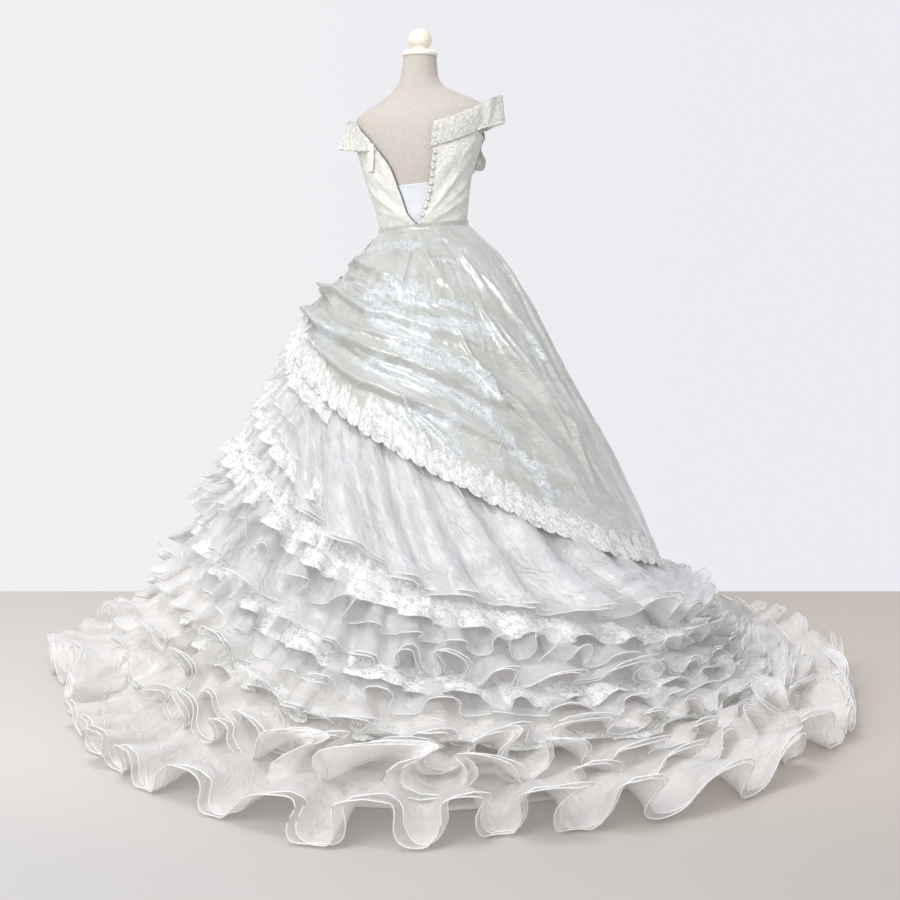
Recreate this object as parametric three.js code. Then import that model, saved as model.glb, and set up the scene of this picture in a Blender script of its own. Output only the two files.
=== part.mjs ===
// A wedding dress on a limbless dress form, in millimetres, +Z up.
// The origin is on the floor on the axis of the stand. The wearer faces +Y and the train lies towards -Y.
// An angle of 0 degrees looks at the centre back, 90 degrees is +X and 180 degrees is the front.

import * as THREE from 'three';

// Driving dimensions

const WAIST_HEIGHT = 1070;
const FORM_BOTTOM = 830;
const NECK_TOP = 1517;
const FINIAL_TOP = 1590;
const BASE_RADIUS = 200;
const BASE_THICKNESS = 20;
const POLE_RADIUS = 17;
const CLOTH = 2;
const SEAM_GAP = 0.3;
const TORSO_TURN = -5;
const SHOULDER_TILT = 0.1;
const TILT_REACH = 320;

// Height above the torso surface of the inner face of each layer

const LAYER = { innerPanel: 1.3, zipTape: 3.4, bodice: 5.4, overlay: 7.9 };

// A short table: the first list names the columns

const table = (columns, rows) => rows.map((row) => Object.fromEntries(columns.map((name, i) => [name, row[i]])));

// Skirt sections: the radius in eight directions at each height

const DIRECTIONS = ['back', 'backRight', 'right', 'frontRight', 'front', 'frontLeft', 'left', 'backLeft'];
const SKIRT_SECTIONS = table(['height', ...DIRECTIONS], [
  [1070, 95, 107, 123, 111, 101, 102, 107, 98],
  [1000, 180, 185, 185, 160, 150, 158, 154, 165],
  [900, 275, 272, 252, 215, 200, 212, 218, 252],
  [800, 365, 350, 300, 260, 245, 260, 290, 335],
  [650, 470, 450, 368, 320, 300, 325, 362, 430],
  [500, 570, 548, 448, 375, 350, 380, 432, 520],
  [350, 665, 640, 524, 425, 395, 425, 500, 605],
  [200, 780, 740, 570, 475, 435, 475, 570, 700],
  [80, 925, 870, 680, 530, 465, 520, 655, 815],
  [18, 1070, 995, 785, 575, 480, 560, 735, 925],
  [0, 1200, 1100, 865, 610, 490, 590, 790, 1000],
  [0, 1450, 1270, 950, 645, 500, 635, 850, 1050],
]);

// How far down the skirt, along the cloth, the overskirt reaches in the same eight directions

const OVERSKIRT_DROP = {
  back: 715, backRight: 975, right: 985, frontRight: 880, front: 700, frontLeft: 450, left: 280, backLeft: 450,
};

// The largest folds of the overskirt: a ridge runs from the start to the end, as angle and drop

const FOLDS = [
  { startAngle: -62, startDrop: 190, endAngle: 26, endDrop: 440, height: 16, width: 34 },
  { startAngle: -58, startDrop: 300, endAngle: 34, endDrop: 600, height: 16, width: 36 },
  { startAngle: -20, startDrop: 430, endAngle: 36, endDrop: 700, height: 14, width: 34 },
  { startAngle: -14, startDrop: 520, endAngle: 18, endDrop: 720, height: 12, width: 30 },
  { startAngle: 38, startDrop: 120, endAngle: 56, endDrop: 860, height: 14, width: 42 },
  { startAngle: 66, startDrop: 120, endAngle: 78, endDrop: 900, height: 14, width: 42 },
  { startAngle: 150, startDrop: 120, endAngle: 130, endDrop: 760, height: 14, width: 42 },
  { startAngle: 196, startDrop: 120, endAngle: 206, endDrop: 520, height: 14, width: 40 },
];

// Torso sections: the distance from the axis to the surface of the form in four directions

const TORSO_SECTIONS = [
  { height: 830, right: 158, left: 158, back: 118, front: 108, middle: 0 },
  { height: 910, right: 162, left: 162, back: 124, front: 112, middle: 2 },
  { height: 990, right: 132, left: 132, back: 102, front: 102, middle: 4 },
  { height: 1070, right: 111, left: 105, back: 88, front: 94, middle: 5 },
  { height: 1115, right: 116, left: 110, back: 88, front: 104, middle: 3 },
  { height: 1160, right: 122, left: 122, back: 90, front: 120, middle: 1 },
  { height: 1205, right: 131, left: 135, back: 93, front: 128, middle: -1 },
  { height: 1250, right: 146, left: 147, back: 95, front: 120, middle: -1 },
  { height: 1300, right: 161, left: 160, back: 94, front: 104, middle: -1 },
  { height: 1345, right: 174, left: 172, back: 88, front: 86, middle: 0 },
  { height: 1372, right: 172, left: 170, back: 80, front: 74, middle: 1 },
  { height: 1392, right: 146, left: 146, back: 72, front: 66, middle: 1 },
  { height: 1412, right: 106, left: 108, back: 64, front: 60, middle: 0 },
  { height: 1432, right: 70, left: 74, back: 56, front: 56, middle: -1 },
  { height: 1460, right: 50, left: 52, back: 50, front: 50, middle: -1 },
  { height: 1517, right: 43, left: 43, back: 43, front: 43, middle: 0 },
];

// The open back: the angle of each edge of the V at each height

const BACK_EDGES = table(['height', 'left', 'right'], [
  [1076, -6.8, -6.4],
  [1087, -8, -6],
  [1106, -15, -2],
  [1119, -19, 0.6],
  [1138, -21, 4.4],
  [1160, -23, 7],
  [1180, -25.3, 8.8],
  [1206, -27.6, 10],
  [1236, -31.2, 10.5],
  [1256, -35.3, 10.8],
  [1271, -39.4, 10.6],
  [1298, -46, 10],
  [1320, -52, 8.8],
  [1340, -59, 8.5],
]);

// Tiers of ruffles: top and bottom as shares of the way from the overskirt's hem to the train's edge

const TIER_COLUMNS = ['name', 'cloth', 'seam', 'top', 'bottom', 'waves', 'wave', 'rise', 'phase', 'from', 'to'];
const TIERS = table(TIER_COLUMNS, [
  ['tier_1_organza', 'organza', 3.5, -0.04, 0.27, 15, 30, 50, 0.4, -24, 228],
  ['tier_2_lace', 'lace', 3.9, 0.25, 0.34, 14, 8, 34, 1.7, -180, 180],
  ['tier_3_organza', 'organza', 2.9, 0.33, 0.45, 16, 20, 46, 2.9, -180, 180],
  ['tier_4_lace', 'lace', 4.1, 0.44, 0.52, 14, 7, 36, 0.9, -180, 180],
  ['tier_5_organza', 'organza', 3.1, 0.51, 0.7, 16, 28, 50, 4.1, -180, 180],
  ['tier_6_organza', 'organza', 3.3, 0.695, 1, 18, 36, 52, 2.2, -180, 180],
  ['left_ruffle_1', 'lace', 3.1, -0.04, 0.1, 24, 13, 40, 0.2, -131, -25],
  ['left_ruffle_2', 'organza', 3.1, 0.09, 0.19, 24, 15, 42, 1.9, -131, -25],
  ['left_ruffle_3', 'lace', 3.1, 0.18, 0.27, 24, 13, 42, 3.1, -131, -25],
]);

// Materials

function surface(color, roughness) {
  return new THREE.MeshStandardMaterial({ color, roughness, metalness: 0, side: THREE.DoubleSide });
}

const MATERIAL = {
  linen: surface(0xdbd3c9, 0.9),
  paintedWood: surface(0xede6d6, 0.4),
  metal: surface(0xe6e4e0, 0.35),
  bodice: surface(0xf3f2ea, 0.6),
  inner: surface(0xf2f4fb, 0.6),
  lace: surface(0xf4f4ee, 0.8),
  crystal: surface(0xdcddd6, 0.25),
  organza: surface(0xdfe2e6, 0.4),
  lining: surface(0xe6e0db, 0.7),
  pearl: surface(0xe9e6df, 0.3),
  zip: surface(0xc9c8c6, 0.5),
  ribbon: surface(0xf3e9e6, 0.6),
};

// Interpolation

const radians = (degrees) => (degrees * Math.PI) / 180;
const mix = (a, b, t) => a + (b - a) * t;
const clamp = (value, low, high) => Math.min(Math.max(value, low), high);

function cubic(before, start, end, after, t) {
  const m1 = (end - before) / 2;
  const m2 = (after - start) / 2;
  const t2 = t * t;
  const t3 = t2 * t;
  return (2 * t3 - 3 * t2 + 1) * start + (t3 - 2 * t2 + t) * m1 + (3 * t2 - 2 * t3) * end + (t3 - t2) * m2;
}

function around(row, angle) {
  const q = ((((angle / 45) % 8) + 8) % 8);
  const i = Math.floor(q);
  const value = (k) => row[DIRECTIONS[(i + k + 8) % 8]];
  return cubic(value(-1), value(0), value(1), value(2), q - i);
}

function column(table, key, height) {
  const last = table.length - 1;
  const i = clamp(table.findIndex((row) => row.height > height) - 1, 0, last - 1);
  const at = (k) => table[clamp(i + k, 0, last)];
  if (height >= table[last].height) return table[last][key];
  const t = clamp((height - at(0).height) / (at(1).height - at(0).height), 0, 1);
  return cubic(at(-1)[key], at(0)[key], at(1)[key], at(2)[key], t);
}

// The skirt: every tier and panel is placed by an angle, a drop along the cloth and a lift off the gores

function skirtProfile(angle) {
  const points = SKIRT_SECTIONS.map((row) => ({ radius: around(row, angle), height: row.height, drop: 0 }));
  for (let i = 1; i < points.length; i++) {
    const step = Math.hypot(points[i].radius - points[i - 1].radius, points[i].height - points[i - 1].height);
    points[i].drop = points[i - 1].drop + step;
  }
  return points;
}

function trainEdge(angle) {
  return skirtProfile(angle).at(-1).drop;
}

function profileAt(points, drop) {
  let i = 0;
  while (i < points.length - 2 && points[i + 1].drop < drop) i++;
  const a = points[i];
  const b = points[i + 1];
  const t = (drop - a.drop) / (b.drop - a.drop);
  return { radius: mix(a.radius, b.radius, t), height: Math.max(mix(a.height, b.height, t), 0) };
}

function skirtPoint(angle, drop, lift) {
  const points = skirtProfile(angle);
  const reach = 40;
  const here = profileAt(points, drop);
  const above = profileAt(points, drop - reach);
  const below = profileAt(points, drop + reach);
  const along = below.radius - above.radius;
  const fall = above.height - below.height;
  const length = Math.hypot(along, fall);
  const radius = here.radius + (lift * fall) / length;
  const height = here.height + (lift * along) / length;
  const across = radius * Math.sin(radians(angle));
  const tilt = SHOULDER_TILT * clamp(1 - drop / TILT_REACH, 0, 1);
  return new THREE.Vector3(across, -radius * Math.cos(radians(angle)), height + tilt * across);
}

// The torso: every piece of the bodice is placed by an angle, a height and a lift off the form

function torsoPoint(angle, height, lift) {
  const turned = radians(angle - TORSO_TURN);
  const sine = Math.sin(turned);
  const cosine = -Math.cos(turned);
  const wide = column(TORSO_SECTIONS, sine >= 0 ? 'right' : 'left', height) + lift;
  const deep = column(TORSO_SECTIONS, cosine >= 0 ? 'front' : 'back', height) + lift;
  const x = wide * sine;
  const y = deep * cosine;
  const turn = radians(TORSO_TURN);
  const level = clamp((NECK_TOP - height) / 90, 0, 1) * clamp((height - FORM_BOTTOM) / 150, 0, 1);
  const across = x * Math.cos(turn) - y * Math.sin(turn) + column(TORSO_SECTIONS, 'middle', height);
  const back = x * Math.sin(turn) + y * Math.cos(turn);
  return new THREE.Vector3(across, back, height + SHOULDER_TILT * level * across);
}

// Closed walls built from a grid: place(across, down, outside) gives a point, outside is 0 or 1

function wall(columns, rows, place, ring = false) {
  const count = ring ? columns : columns + 1;
  const positions = [];
  for (const outside of [0, 1]) {
    for (let j = 0; j <= rows; j++) {
      for (let i = 0; i < count; i++) positions.push(...place(i / columns, j / rows, outside).toArray());
    }
  }
  const id = (outside, i, j) => (outside * (rows + 1) + j) * count + (i % count);
  const faces = [];
  const quad = (a, b, c, d) => faces.push(a, b, c, a, c, d);
  for (let i = 0; i < columns; i++) {
    for (let j = 0; j < rows; j++) {
      quad(id(1, i, j), id(1, i, j + 1), id(1, i + 1, j + 1), id(1, i + 1, j));
      quad(id(0, i, j), id(0, i + 1, j), id(0, i + 1, j + 1), id(0, i, j + 1));
    }
    quad(id(1, i, 0), id(1, i + 1, 0), id(0, i + 1, 0), id(0, i, 0));
    quad(id(1, i + 1, rows), id(1, i, rows), id(0, i, rows), id(0, i + 1, rows));
  }
  for (let j = 0; j < rows && !ring; j++) {
    quad(id(1, 0, j + 1), id(1, 0, j), id(0, 0, j), id(0, 0, j + 1));
    quad(id(1, columns, j), id(1, columns, j + 1), id(0, columns, j + 1), id(0, columns, j));
  }
  const geometry = new THREE.BufferGeometry();
  geometry.setAttribute('position', new THREE.Float32BufferAttribute(positions, 3));
  geometry.setIndex(faces);
  geometry.computeVertexNormals();
  return geometry;
}

const dress = new THREE.Group();

function add(name, geometry, material, parent = dress) {
  const mesh = new THREE.Mesh(geometry, material);
  mesh.name = name;
  parent.add(mesh);
  return mesh;
}

function lathe(profile, segments = 40) {
  const geometry = new THREE.LatheGeometry(profile.map(([r, z]) => new THREE.Vector2(r, z)), segments);
  return geometry.rotateX(Math.PI / 2);
}

// The dress form

function torsoSolid() {
  const columns = 40;
  const rings = 24;
  const positions = [];
  const faces = [];
  for (let j = 0; j < rings; j++) {
    const height = mix(FORM_BOTTOM, NECK_TOP, j / (rings - 1));
    for (let i = 0; i < columns; i++) positions.push(...torsoPoint((360 * i) / columns, height, 0).toArray());
  }
  const id = (i, j) => j * columns + (i % columns);
  for (let j = 0; j < rings - 1; j++) {
    for (let i = 0; i < columns; i++) {
      faces.push(id(i, j), id(i + 1, j), id(i + 1, j + 1), id(i, j), id(i + 1, j + 1), id(i, j + 1));
    }
  }
  const bottom = positions.length / 3;
  positions.push(0, 0, FORM_BOTTOM, 0, 0, NECK_TOP);
  for (let i = 0; i < columns; i++) {
    faces.push(bottom, id(i + 1, 0), id(i, 0), bottom + 1, id(i, rings - 1), id(i + 1, rings - 1));
  }
  const geometry = new THREE.BufferGeometry();
  geometry.setAttribute('position', new THREE.Float32BufferAttribute(positions, 3));
  geometry.setIndex(faces);
  return geometry;
}

function dressForm() {
  add('form_torso', torsoSolid(), MATERIAL.linen);
  const capBottom = NECK_TOP + SEAM_GAP;
  const capTop = capBottom + 15;
  add('form_neck_cap', lathe([
    [0, capBottom], [44, capBottom], [46, capBottom + 3], [46, capBottom + 8], [40, capTop - 1], [36, capTop], [0, capTop],
  ]), MATERIAL.paintedWood);
  const knob = capTop + SEAM_GAP;
  add('form_finial', lathe([
    [0, knob], [20, knob], [23, knob + 4], [22, knob + 8], [29, knob + 14], [32, knob + 24], [30, knob + 36],
    [23, knob + 47], [13, FINIAL_TOP - 3], [0, FINIAL_TOP],
  ]), MATERIAL.paintedWood);
  const flangeTop = FORM_BOTTOM - SEAM_GAP;
  add('form_flange', lathe([
    [0, flangeTop - 30], [26, flangeTop - 30], [26, flangeTop - 8], [50, flangeTop - 8], [50, flangeTop], [0, flangeTop],
  ]), MATERIAL.metal);
  const poleBottom = BASE_THICKNESS + 8 + SEAM_GAP;
  const poleTop = flangeTop - 30 - SEAM_GAP;
  const pole = [[0, poleBottom], [POLE_RADIUS, poleBottom], [POLE_RADIUS, poleTop], [0, poleTop]];
  add('form_pole', lathe(pole, 24), MATERIAL.metal);
  add('form_base', lathe([
    [0, 0], [BASE_RADIUS - 4, 0], [BASE_RADIUS, 4], [BASE_RADIUS, BASE_THICKNESS - 6],
    [BASE_RADIUS - 6, BASE_THICKNESS], [34, BASE_THICKNESS], [30, BASE_THICKNESS + 8], [0, BASE_THICKNESS + 8],
  ], 48), MATERIAL.metal);
}

// The bodice: each panel hangs between two edges, each edge gives its angle and height from 0 (top) to 1 (waist)

function panel(columns, rows, startEdge, endEdge, layer, thickness, crown = () => 0) {
  return wall(columns, rows, (across, down, outside) => {
    const start = startEdge(down);
    const end = endEdge(down);
    const angle = mix(start.angle, end.angle, across);
    const height = mix(start.height, end.height, across) + crown(across) * (1 - down);
    return torsoPoint(angle, height, layer + outside * thickness);
  });
}

const BODICE_BOTTOM = WAIST_HEIGHT + 14;
const straight = (angle, top) => (down) => ({ angle, height: mix(top, BODICE_BOTTOM, down) });
const backEdge = (side, top, inset) => (down) => {
  const height = mix(top, BODICE_BOTTOM, down);
  return { angle: column(BACK_EDGES, side, height) + inset, height };
};

const SIDE_SEAM = { back: 76, front: 112 };
const UNDERARM = 1296;
const BODICE_ROWS = 8;
const SEAM_ANGLE = 0.15;
const INNER_PANEL = { left: -34, right: 24, top: 1190, thickness: 1.2 };

function bodice() {
  const left = backEdge('left', 1298, -SEAM_ANGLE);
  const right = backEdge('right', 1330, SEAM_ANGLE);
  const hump = (height) => (across) => height * Math.sin(Math.PI * clamp(across, 0, 1));
  add('bodice_back_left', panel(7, BODICE_ROWS, straight(-SIDE_SEAM.back + SEAM_ANGLE, UNDERARM), left,
    LAYER.bodice, CLOTH, hump(8)), MATERIAL.bodice);
  add('bodice_back_right', panel(8, BODICE_ROWS, right, straight(SIDE_SEAM.back - SEAM_ANGLE, UNDERARM),
    LAYER.bodice, CLOTH, hump(8)), MATERIAL.bodice);
  for (const [name, sign] of [['bodice_side_right', 1], ['bodice_side_left', -1]]) {
    const edges = [sign * (SIDE_SEAM.back + SEAM_ANGLE), sign * (SIDE_SEAM.front - SEAM_ANGLE)].sort((a, b) => a - b);
    add(name, panel(4, BODICE_ROWS, straight(edges[0], UNDERARM), straight(edges[1], UNDERARM), LAYER.bodice, CLOTH),
      MATERIAL.bodice);
  }
  add('bodice_front', panel(12, BODICE_ROWS, straight(SIDE_SEAM.front + SEAM_ANGLE, UNDERARM),
    straight(360 - SIDE_SEAM.front - SEAM_ANGLE, UNDERARM), LAYER.bodice, CLOTH, hump(14)), MATERIAL.bodice);
  const innerEdges = [straight(INNER_PANEL.left, INNER_PANEL.top), straight(INNER_PANEL.right, INNER_PANEL.top)];
  add('inner_panel', panel(6, 4, ...innerEdges, LAYER.innerPanel, INNER_PANEL.thickness), MATERIAL.inner);
}

const ZIP = { top: 1286, bottom: 1092, hiddenAngle: 5, shownAngle: 1.8, thickness: 1.2 };
const SLIDER = { width: 5, depth: 2.4, length: 9, angle: -7.5, rise: 5, seat: 1.8 };

function zip() {
  add('zip_tape_left', wall(1, 9, (across, down, outside) => {
    const height = mix(ZIP.top, ZIP.bottom, down);
    const angle = column(BACK_EDGES, 'left', height) + mix(-ZIP.hiddenAngle, ZIP.shownAngle, across);
    return torsoPoint(angle, height, LAYER.zipTape + ZIP.thickness * outside);
  }), MATERIAL.zip);
  const mesh = add('zip_slider', new THREE.BoxGeometry(SLIDER.width, SLIDER.depth, SLIDER.length), MATERIAL.zip);
  mesh.position.copy(torsoPoint(SLIDER.angle, BODICE_BOTTOM + SLIDER.rise, LAYER.bodice + CLOTH + SLIDER.seat));
}

const BUTTONS = { count: 13, radius: 4.8, thickness: 3.2, top: 1322, bottom: 1090, inset: 3.1 };

function buttons() {
  for (let k = 0; k < BUTTONS.count; k++) {
    const height = mix(BUTTONS.top, BUTTONS.bottom, k / (BUTTONS.count - 1));
    const angle = column(BACK_EDGES, 'right', height) + BUTTONS.inset;
    const seat = torsoPoint(angle, height, LAYER.bodice + CLOTH + 0.2);
    const out = torsoPoint(angle, height, LAYER.bodice + CLOTH + 20).sub(seat).normalize();
    const shape = new THREE.SphereGeometry(BUTTONS.radius, 12, 6).scale(1, BUTTONS.thickness / (2 * BUTTONS.radius), 1);
    const mesh = add(`button_${String(k + 1).padStart(2, '0')}`, shape, MATERIAL.pearl);
    mesh.position.copy(seat).addScaledVector(out, BUTTONS.thickness / 2);
    mesh.quaternion.setFromUnitVectors(new THREE.Vector3(0, 1, 0), out);
  }
}

// Lace sleeves stand off the shoulder, and the front flounce hangs from one sleeve to the other

const SLEEVE_COLUMNS = ['angle', 'top', 'bottom', 'liftTop', 'liftBottom'];
const SLEEVES = [
  {
    name: 'sleeve_right',
    sign: 1,
    band: table(SLEEVE_COLUMNS, [
      [19, 1348, 1286, 8.4, 8.4],
      [30, 1357, 1291, 8.4, 8.4],
      [45, 1369, 1303, 8.6, 8.6],
      [58, 1378, 1312, 10, 11],
      [68, 1386, 1318, 20, 22],
      [78, 1392, 1322, 32, 38],
      [88, 1397, 1326, 39, 51],
      [98, 1395, 1324, 37, 46],
      [108, 1384, 1318, 25, 28],
      [114, 1374, 1314, 13, 15],
    ]),
  },
  {
    name: 'sleeve_left',
    sign: -1,
    band: table(SLEEVE_COLUMNS, [
      [63, 1357, 1300, 5.6, 5.6],
      [72, 1366, 1300, 10, 17],
      [82, 1370, 1302, 16, 34],
      [91, 1367, 1303, 19, 44],
      [100, 1365, 1300, 17, 36],
      [108, 1362, 1298, 13, 22],
      [114, 1358, 1296, 5.8, 8.2],
    ]),
  },
];
const SHOULDER = 1335;
const BESIDE = { start: 52, width: 20 };
const FLOUNCE = {
  start: 115,
  end: 245,
  seat: 7.4,
  flare: 20,
  topMiddle: 1318,
  topSide: 1366,
  hemMiddle: 1188,
  hemSide: 1226,
  scallop: 5,
};

const smooth = (t) => clamp(t, 0, 1) ** 2 * (3 - 2 * clamp(t, 0, 1));

function between(rows, key, share) {
  const at = share * (rows.length - 1);
  const i = Math.min(Math.floor(at), rows.length - 2);
  return mix(rows[i][key], rows[i + 1][key], at - i);
}

function sleeves() {
  for (const { name, sign, band } of SLEEVES) {
    add(name, wall(2 * (band.length - 1), 2, (across, down, outside) => {
      const share = sign > 0 ? across : 1 - across;
      const angle = between(band, 'angle', share);
      const height = mix(between(band, 'top', share), between(band, 'bottom', share), down);
      const lift = mix(between(band, 'liftTop', share), between(band, 'liftBottom', share), down);
      const beside = smooth((angle - BESIDE.start) / BESIDE.width);
      const at = torsoPoint(sign * angle, mix(height, SHOULDER, beside), lift + outside * CLOTH);
      return at.setZ(height + SHOULDER_TILT * at.x);
    }), MATERIAL.lace);
  }
  add('front_flounce', wall(16, 2, (across, down, outside) => {
    const angle = mix(FLOUNCE.start, FLOUNCE.end, across);
    const side = Math.abs(2 * across - 1);
    const scallop = FLOUNCE.scallop * Math.cos(20 * Math.PI * across);
    const top = mix(FLOUNCE.topMiddle, FLOUNCE.topSide, side ** 2);
    const hem = mix(FLOUNCE.hemMiddle, FLOUNCE.hemSide, side) + scallop;
    const height = mix(top, hem, down);
    const at = torsoPoint(angle, Math.min(height, SHOULDER), FLOUNCE.seat + FLOUNCE.flare * down + outside * CLOTH);
    return at.setZ(height + SHOULDER_TILT * at.x);
  }), MATERIAL.lace);
}

function trims() {
  add('waistband', wall(40, 1, (across, down, outside) => {
    const height = mix(BODICE_BOTTOM - SEAM_GAP, WAIST_HEIGHT + CLOTH, down);
    return torsoPoint(360 * across, height, LAYER.bodice + outside * CLOTH);
  }, true), MATERIAL.bodice);
  const label = { left: -61, right: -53, top: 1282, bottom: 1232, thickness: 1.2, swing: 2 };
  add('label_ribbon', wall(1, 4, (across, down, outside) => {
    const height = mix(label.top, label.bottom, down);
    const lift = LAYER.overlay + label.swing * down + outside * label.thickness;
    return torsoPoint(mix(label.left, label.right, across), height, lift);
  }), MATERIAL.ribbon);
}

// The skirt under the tiers: eight gores from the waist to the edge of the train

const GORES = [
  'back_right', 'right_back', 'right_front', 'front_right', 'front_left', 'left_front', 'left_back', 'back_left',
];

function gores() {
  const gap = 0.05;
  const sections = SKIRT_SECTIONS.length - 1;
  GORES.forEach((name, k) => {
    add(`gore_${name}`, wall(4, sections, (across, down, outside) => {
      const row = Math.round(down * sections);
      const angle = mix(45 * k + gap, 45 * (k + 1) - gap, across);
      const drop = skirtProfile(angle)[row].drop;
      return skirtPoint(angle, drop, outside * CLOTH);
    }), MATERIAL.lining);
  });
}

// The folds are measured on the skirt laid flat, where one degree is this wide

const ARC_PER_DEGREE = 8;

function foldLift(angle, drop) {
  let lift = 0;
  for (const fold of FOLDS) {
    const dx = (fold.endAngle - fold.startAngle) * ARC_PER_DEGREE;
    const dy = fold.endDrop - fold.startDrop;
    const px = (angle - fold.startAngle) * ARC_PER_DEGREE;
    const py = drop - fold.startDrop;
    const t = clamp((px * dx + py * dy) / (dx * dx + dy * dy), 0, 1);
    const off = Math.hypot(px - t * dx, py - t * dy);
    lift += fold.height * Math.sin(Math.PI * mix(0.12, 0.9, t)) * Math.exp(-((off / fold.width) ** 2));
  }
  return lift;
}

const OVERSKIRT = { top: 9, waistLift: 4, hemLift: 26, laceDepth: 75, laceGap: 0.5, ease: 120, last: 264 };
const PANELS = [
  { name: 'back_left', from: -96, to: -1, columns: 13, rows: 8 },
  { name: 'back_right', from: -1, to: 100, columns: 14, rows: 11 },
  { name: 'front', from: 100, to: OVERSKIRT.last, columns: 13, rows: 7 },
];

function overskirtPoint(angle, drop, outside) {
  const hem = around(OVERSKIRT_DROP, angle);
  const lift = mix(OVERSKIRT.waistLift, OVERSKIRT.hemLift, Math.sqrt(clamp((drop - OVERSKIRT.top) / hem, 0, 1)));
  const ease = clamp(drop / OVERSKIRT.ease, 0, 1);
  return skirtPoint(angle, drop, lift + ease * foldLift(angle, drop) + outside);
}

function overskirt() {
  const gap = 0.03;
  for (const part of PANELS) {
    const angleAt = (across) => mix(part.from + gap, part.to - gap, across);
    const dropAt = (angle, down) => {
      const hem = around(OVERSKIRT_DROP, angle);
      const laceTop = hem - OVERSKIRT.laceDepth;
      const plainRows = part.rows - 1;
      const row = down * part.rows;
      if (row <= plainRows) return mix(OVERSKIRT.top, laceTop, row / plainRows);
      return mix(laceTop, hem, row - plainRows);
    };
    add(`overskirt_${part.name}`, wall(part.columns, part.rows, (across, down, outside) => {
      const angle = angleAt(across);
      return overskirtPoint(angle, dropAt(angle, down), outside * CLOTH);
    }), MATERIAL.crystal);
    add(`overskirt_lace_${part.name}`, wall(part.columns, 1, (across, down, outside) => {
      const angle = angleAt(across);
      const hem = around(OVERSKIRT_DROP, angle);
      const seat = CLOTH + OVERSKIRT.laceGap;
      return overskirtPoint(angle, mix(hem - OVERSKIRT.laceDepth, hem, down), seat + outside * CLOTH);
    }), MATERIAL.lace);
  }
}

// Ruffle tiers: the lift and the waves grow from the seam to the hem

const FULL_TIER = 150;
const COLUMNS_PER_WAVE = 4;
const HEM_SWING = 0.008;

function tierDrop(angle, share) {
  return mix(around(OVERSKIRT_DROP, angle), trainEdge(angle), share);
}

function ruffleLift(tier, angle, grow) {
  const wave = Math.cos(tier.waves * radians(angle) + tier.phase + 0.7 * Math.sin(2 * radians(angle) + tier.phase));
  const length = tierDrop(angle, tier.bottom) - tierDrop(angle, tier.top);
  const size = clamp(length / FULL_TIER, 0.35, 1);
  return tier.seam + size * (tier.rise * grow ** 1.25 + tier.wave * wave * grow ** 1.8);
}

function tiers() {
  for (const tier of TIERS) {
    const sweep = tier.to - tier.from;
    const columns = Math.round((tier.waves * sweep * COLUMNS_PER_WAVE) / 360);
    add(tier.name, wall(columns, 1, (across, down, outside) => {
      const angle = tier.from + sweep * across;
      const swing = HEM_SWING * Math.sin(tier.waves * radians(angle) + tier.phase) * down;
      const drop = tierDrop(angle, mix(tier.top, tier.bottom, down) + swing);
      return skirtPoint(angle, drop, ruffleLift(tier, angle, down) + outside * CLOTH);
    }, sweep === 360), MATERIAL[tier.cloth]);
  }
}

dressForm();
bodice();
zip();
buttons();
sleeves();
trims();
gores();
overskirt();
tiers();

export default dress;
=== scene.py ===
"""The looks of a wedding dress on a limbless dress form, in metres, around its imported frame."""

import math

import bpy
import numpy as np
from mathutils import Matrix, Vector


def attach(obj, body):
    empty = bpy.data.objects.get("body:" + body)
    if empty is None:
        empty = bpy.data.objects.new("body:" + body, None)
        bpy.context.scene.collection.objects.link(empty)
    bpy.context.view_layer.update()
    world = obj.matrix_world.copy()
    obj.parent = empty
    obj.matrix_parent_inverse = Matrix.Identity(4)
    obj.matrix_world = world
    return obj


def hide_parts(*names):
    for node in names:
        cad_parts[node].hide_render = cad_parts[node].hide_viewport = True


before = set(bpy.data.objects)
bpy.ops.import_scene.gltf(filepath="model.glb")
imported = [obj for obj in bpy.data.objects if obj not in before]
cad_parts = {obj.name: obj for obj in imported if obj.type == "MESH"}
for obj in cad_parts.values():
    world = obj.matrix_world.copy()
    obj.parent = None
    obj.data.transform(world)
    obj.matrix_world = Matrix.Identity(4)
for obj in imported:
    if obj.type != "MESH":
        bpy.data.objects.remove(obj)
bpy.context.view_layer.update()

# Driving dimensions, the same as the frame's

MM = 0.001
WAIST = 1070
FORM_BOTTOM = 830
NECK_TOP = 1517
TORSO_TURN = -5.0
TILT = 0.1
TILT_REACH = 320
BODICE_BOTTOM = WAIST + 14
LAYER = {"inner": 1.3, "zip": 3.4, "bodice": 5.4, "overlay": 7.9}

# Skirt sections: height, then the radius at the back, back right, right, front right, front,
# front left, left and back left

SKIRT_SECTIONS = np.array([
    (1070, 95, 107, 123, 111, 101, 102, 107, 98),
    (1000, 180, 185, 185, 160, 150, 158, 154, 165),
    (900, 275, 272, 252, 215, 200, 212, 218, 252),
    (800, 365, 350, 300, 260, 245, 260, 290, 335),
    (650, 470, 450, 368, 320, 300, 325, 362, 430),
    (500, 570, 548, 448, 375, 350, 380, 432, 520),
    (350, 665, 640, 524, 425, 395, 425, 500, 605),
    (200, 780, 740, 570, 475, 435, 475, 570, 700),
    (80, 925, 870, 680, 530, 465, 520, 655, 815),
    (18, 1070, 995, 785, 575, 480, 560, 735, 925),
    (0, 1200, 1100, 865, 610, 490, 590, 790, 1000),
    (0, 1450, 1270, 950, 645, 500, 635, 850, 1050),
]) * MM

# Length of the overskirt along the cloth in the same eight directions

OVERSKIRT_DROP = np.array([715, 975, 985, 880, 700, 450, 280, 450]) * MM

# Torso sections: height, then the distance to the right, left, back and front, and the middle's offset

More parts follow.
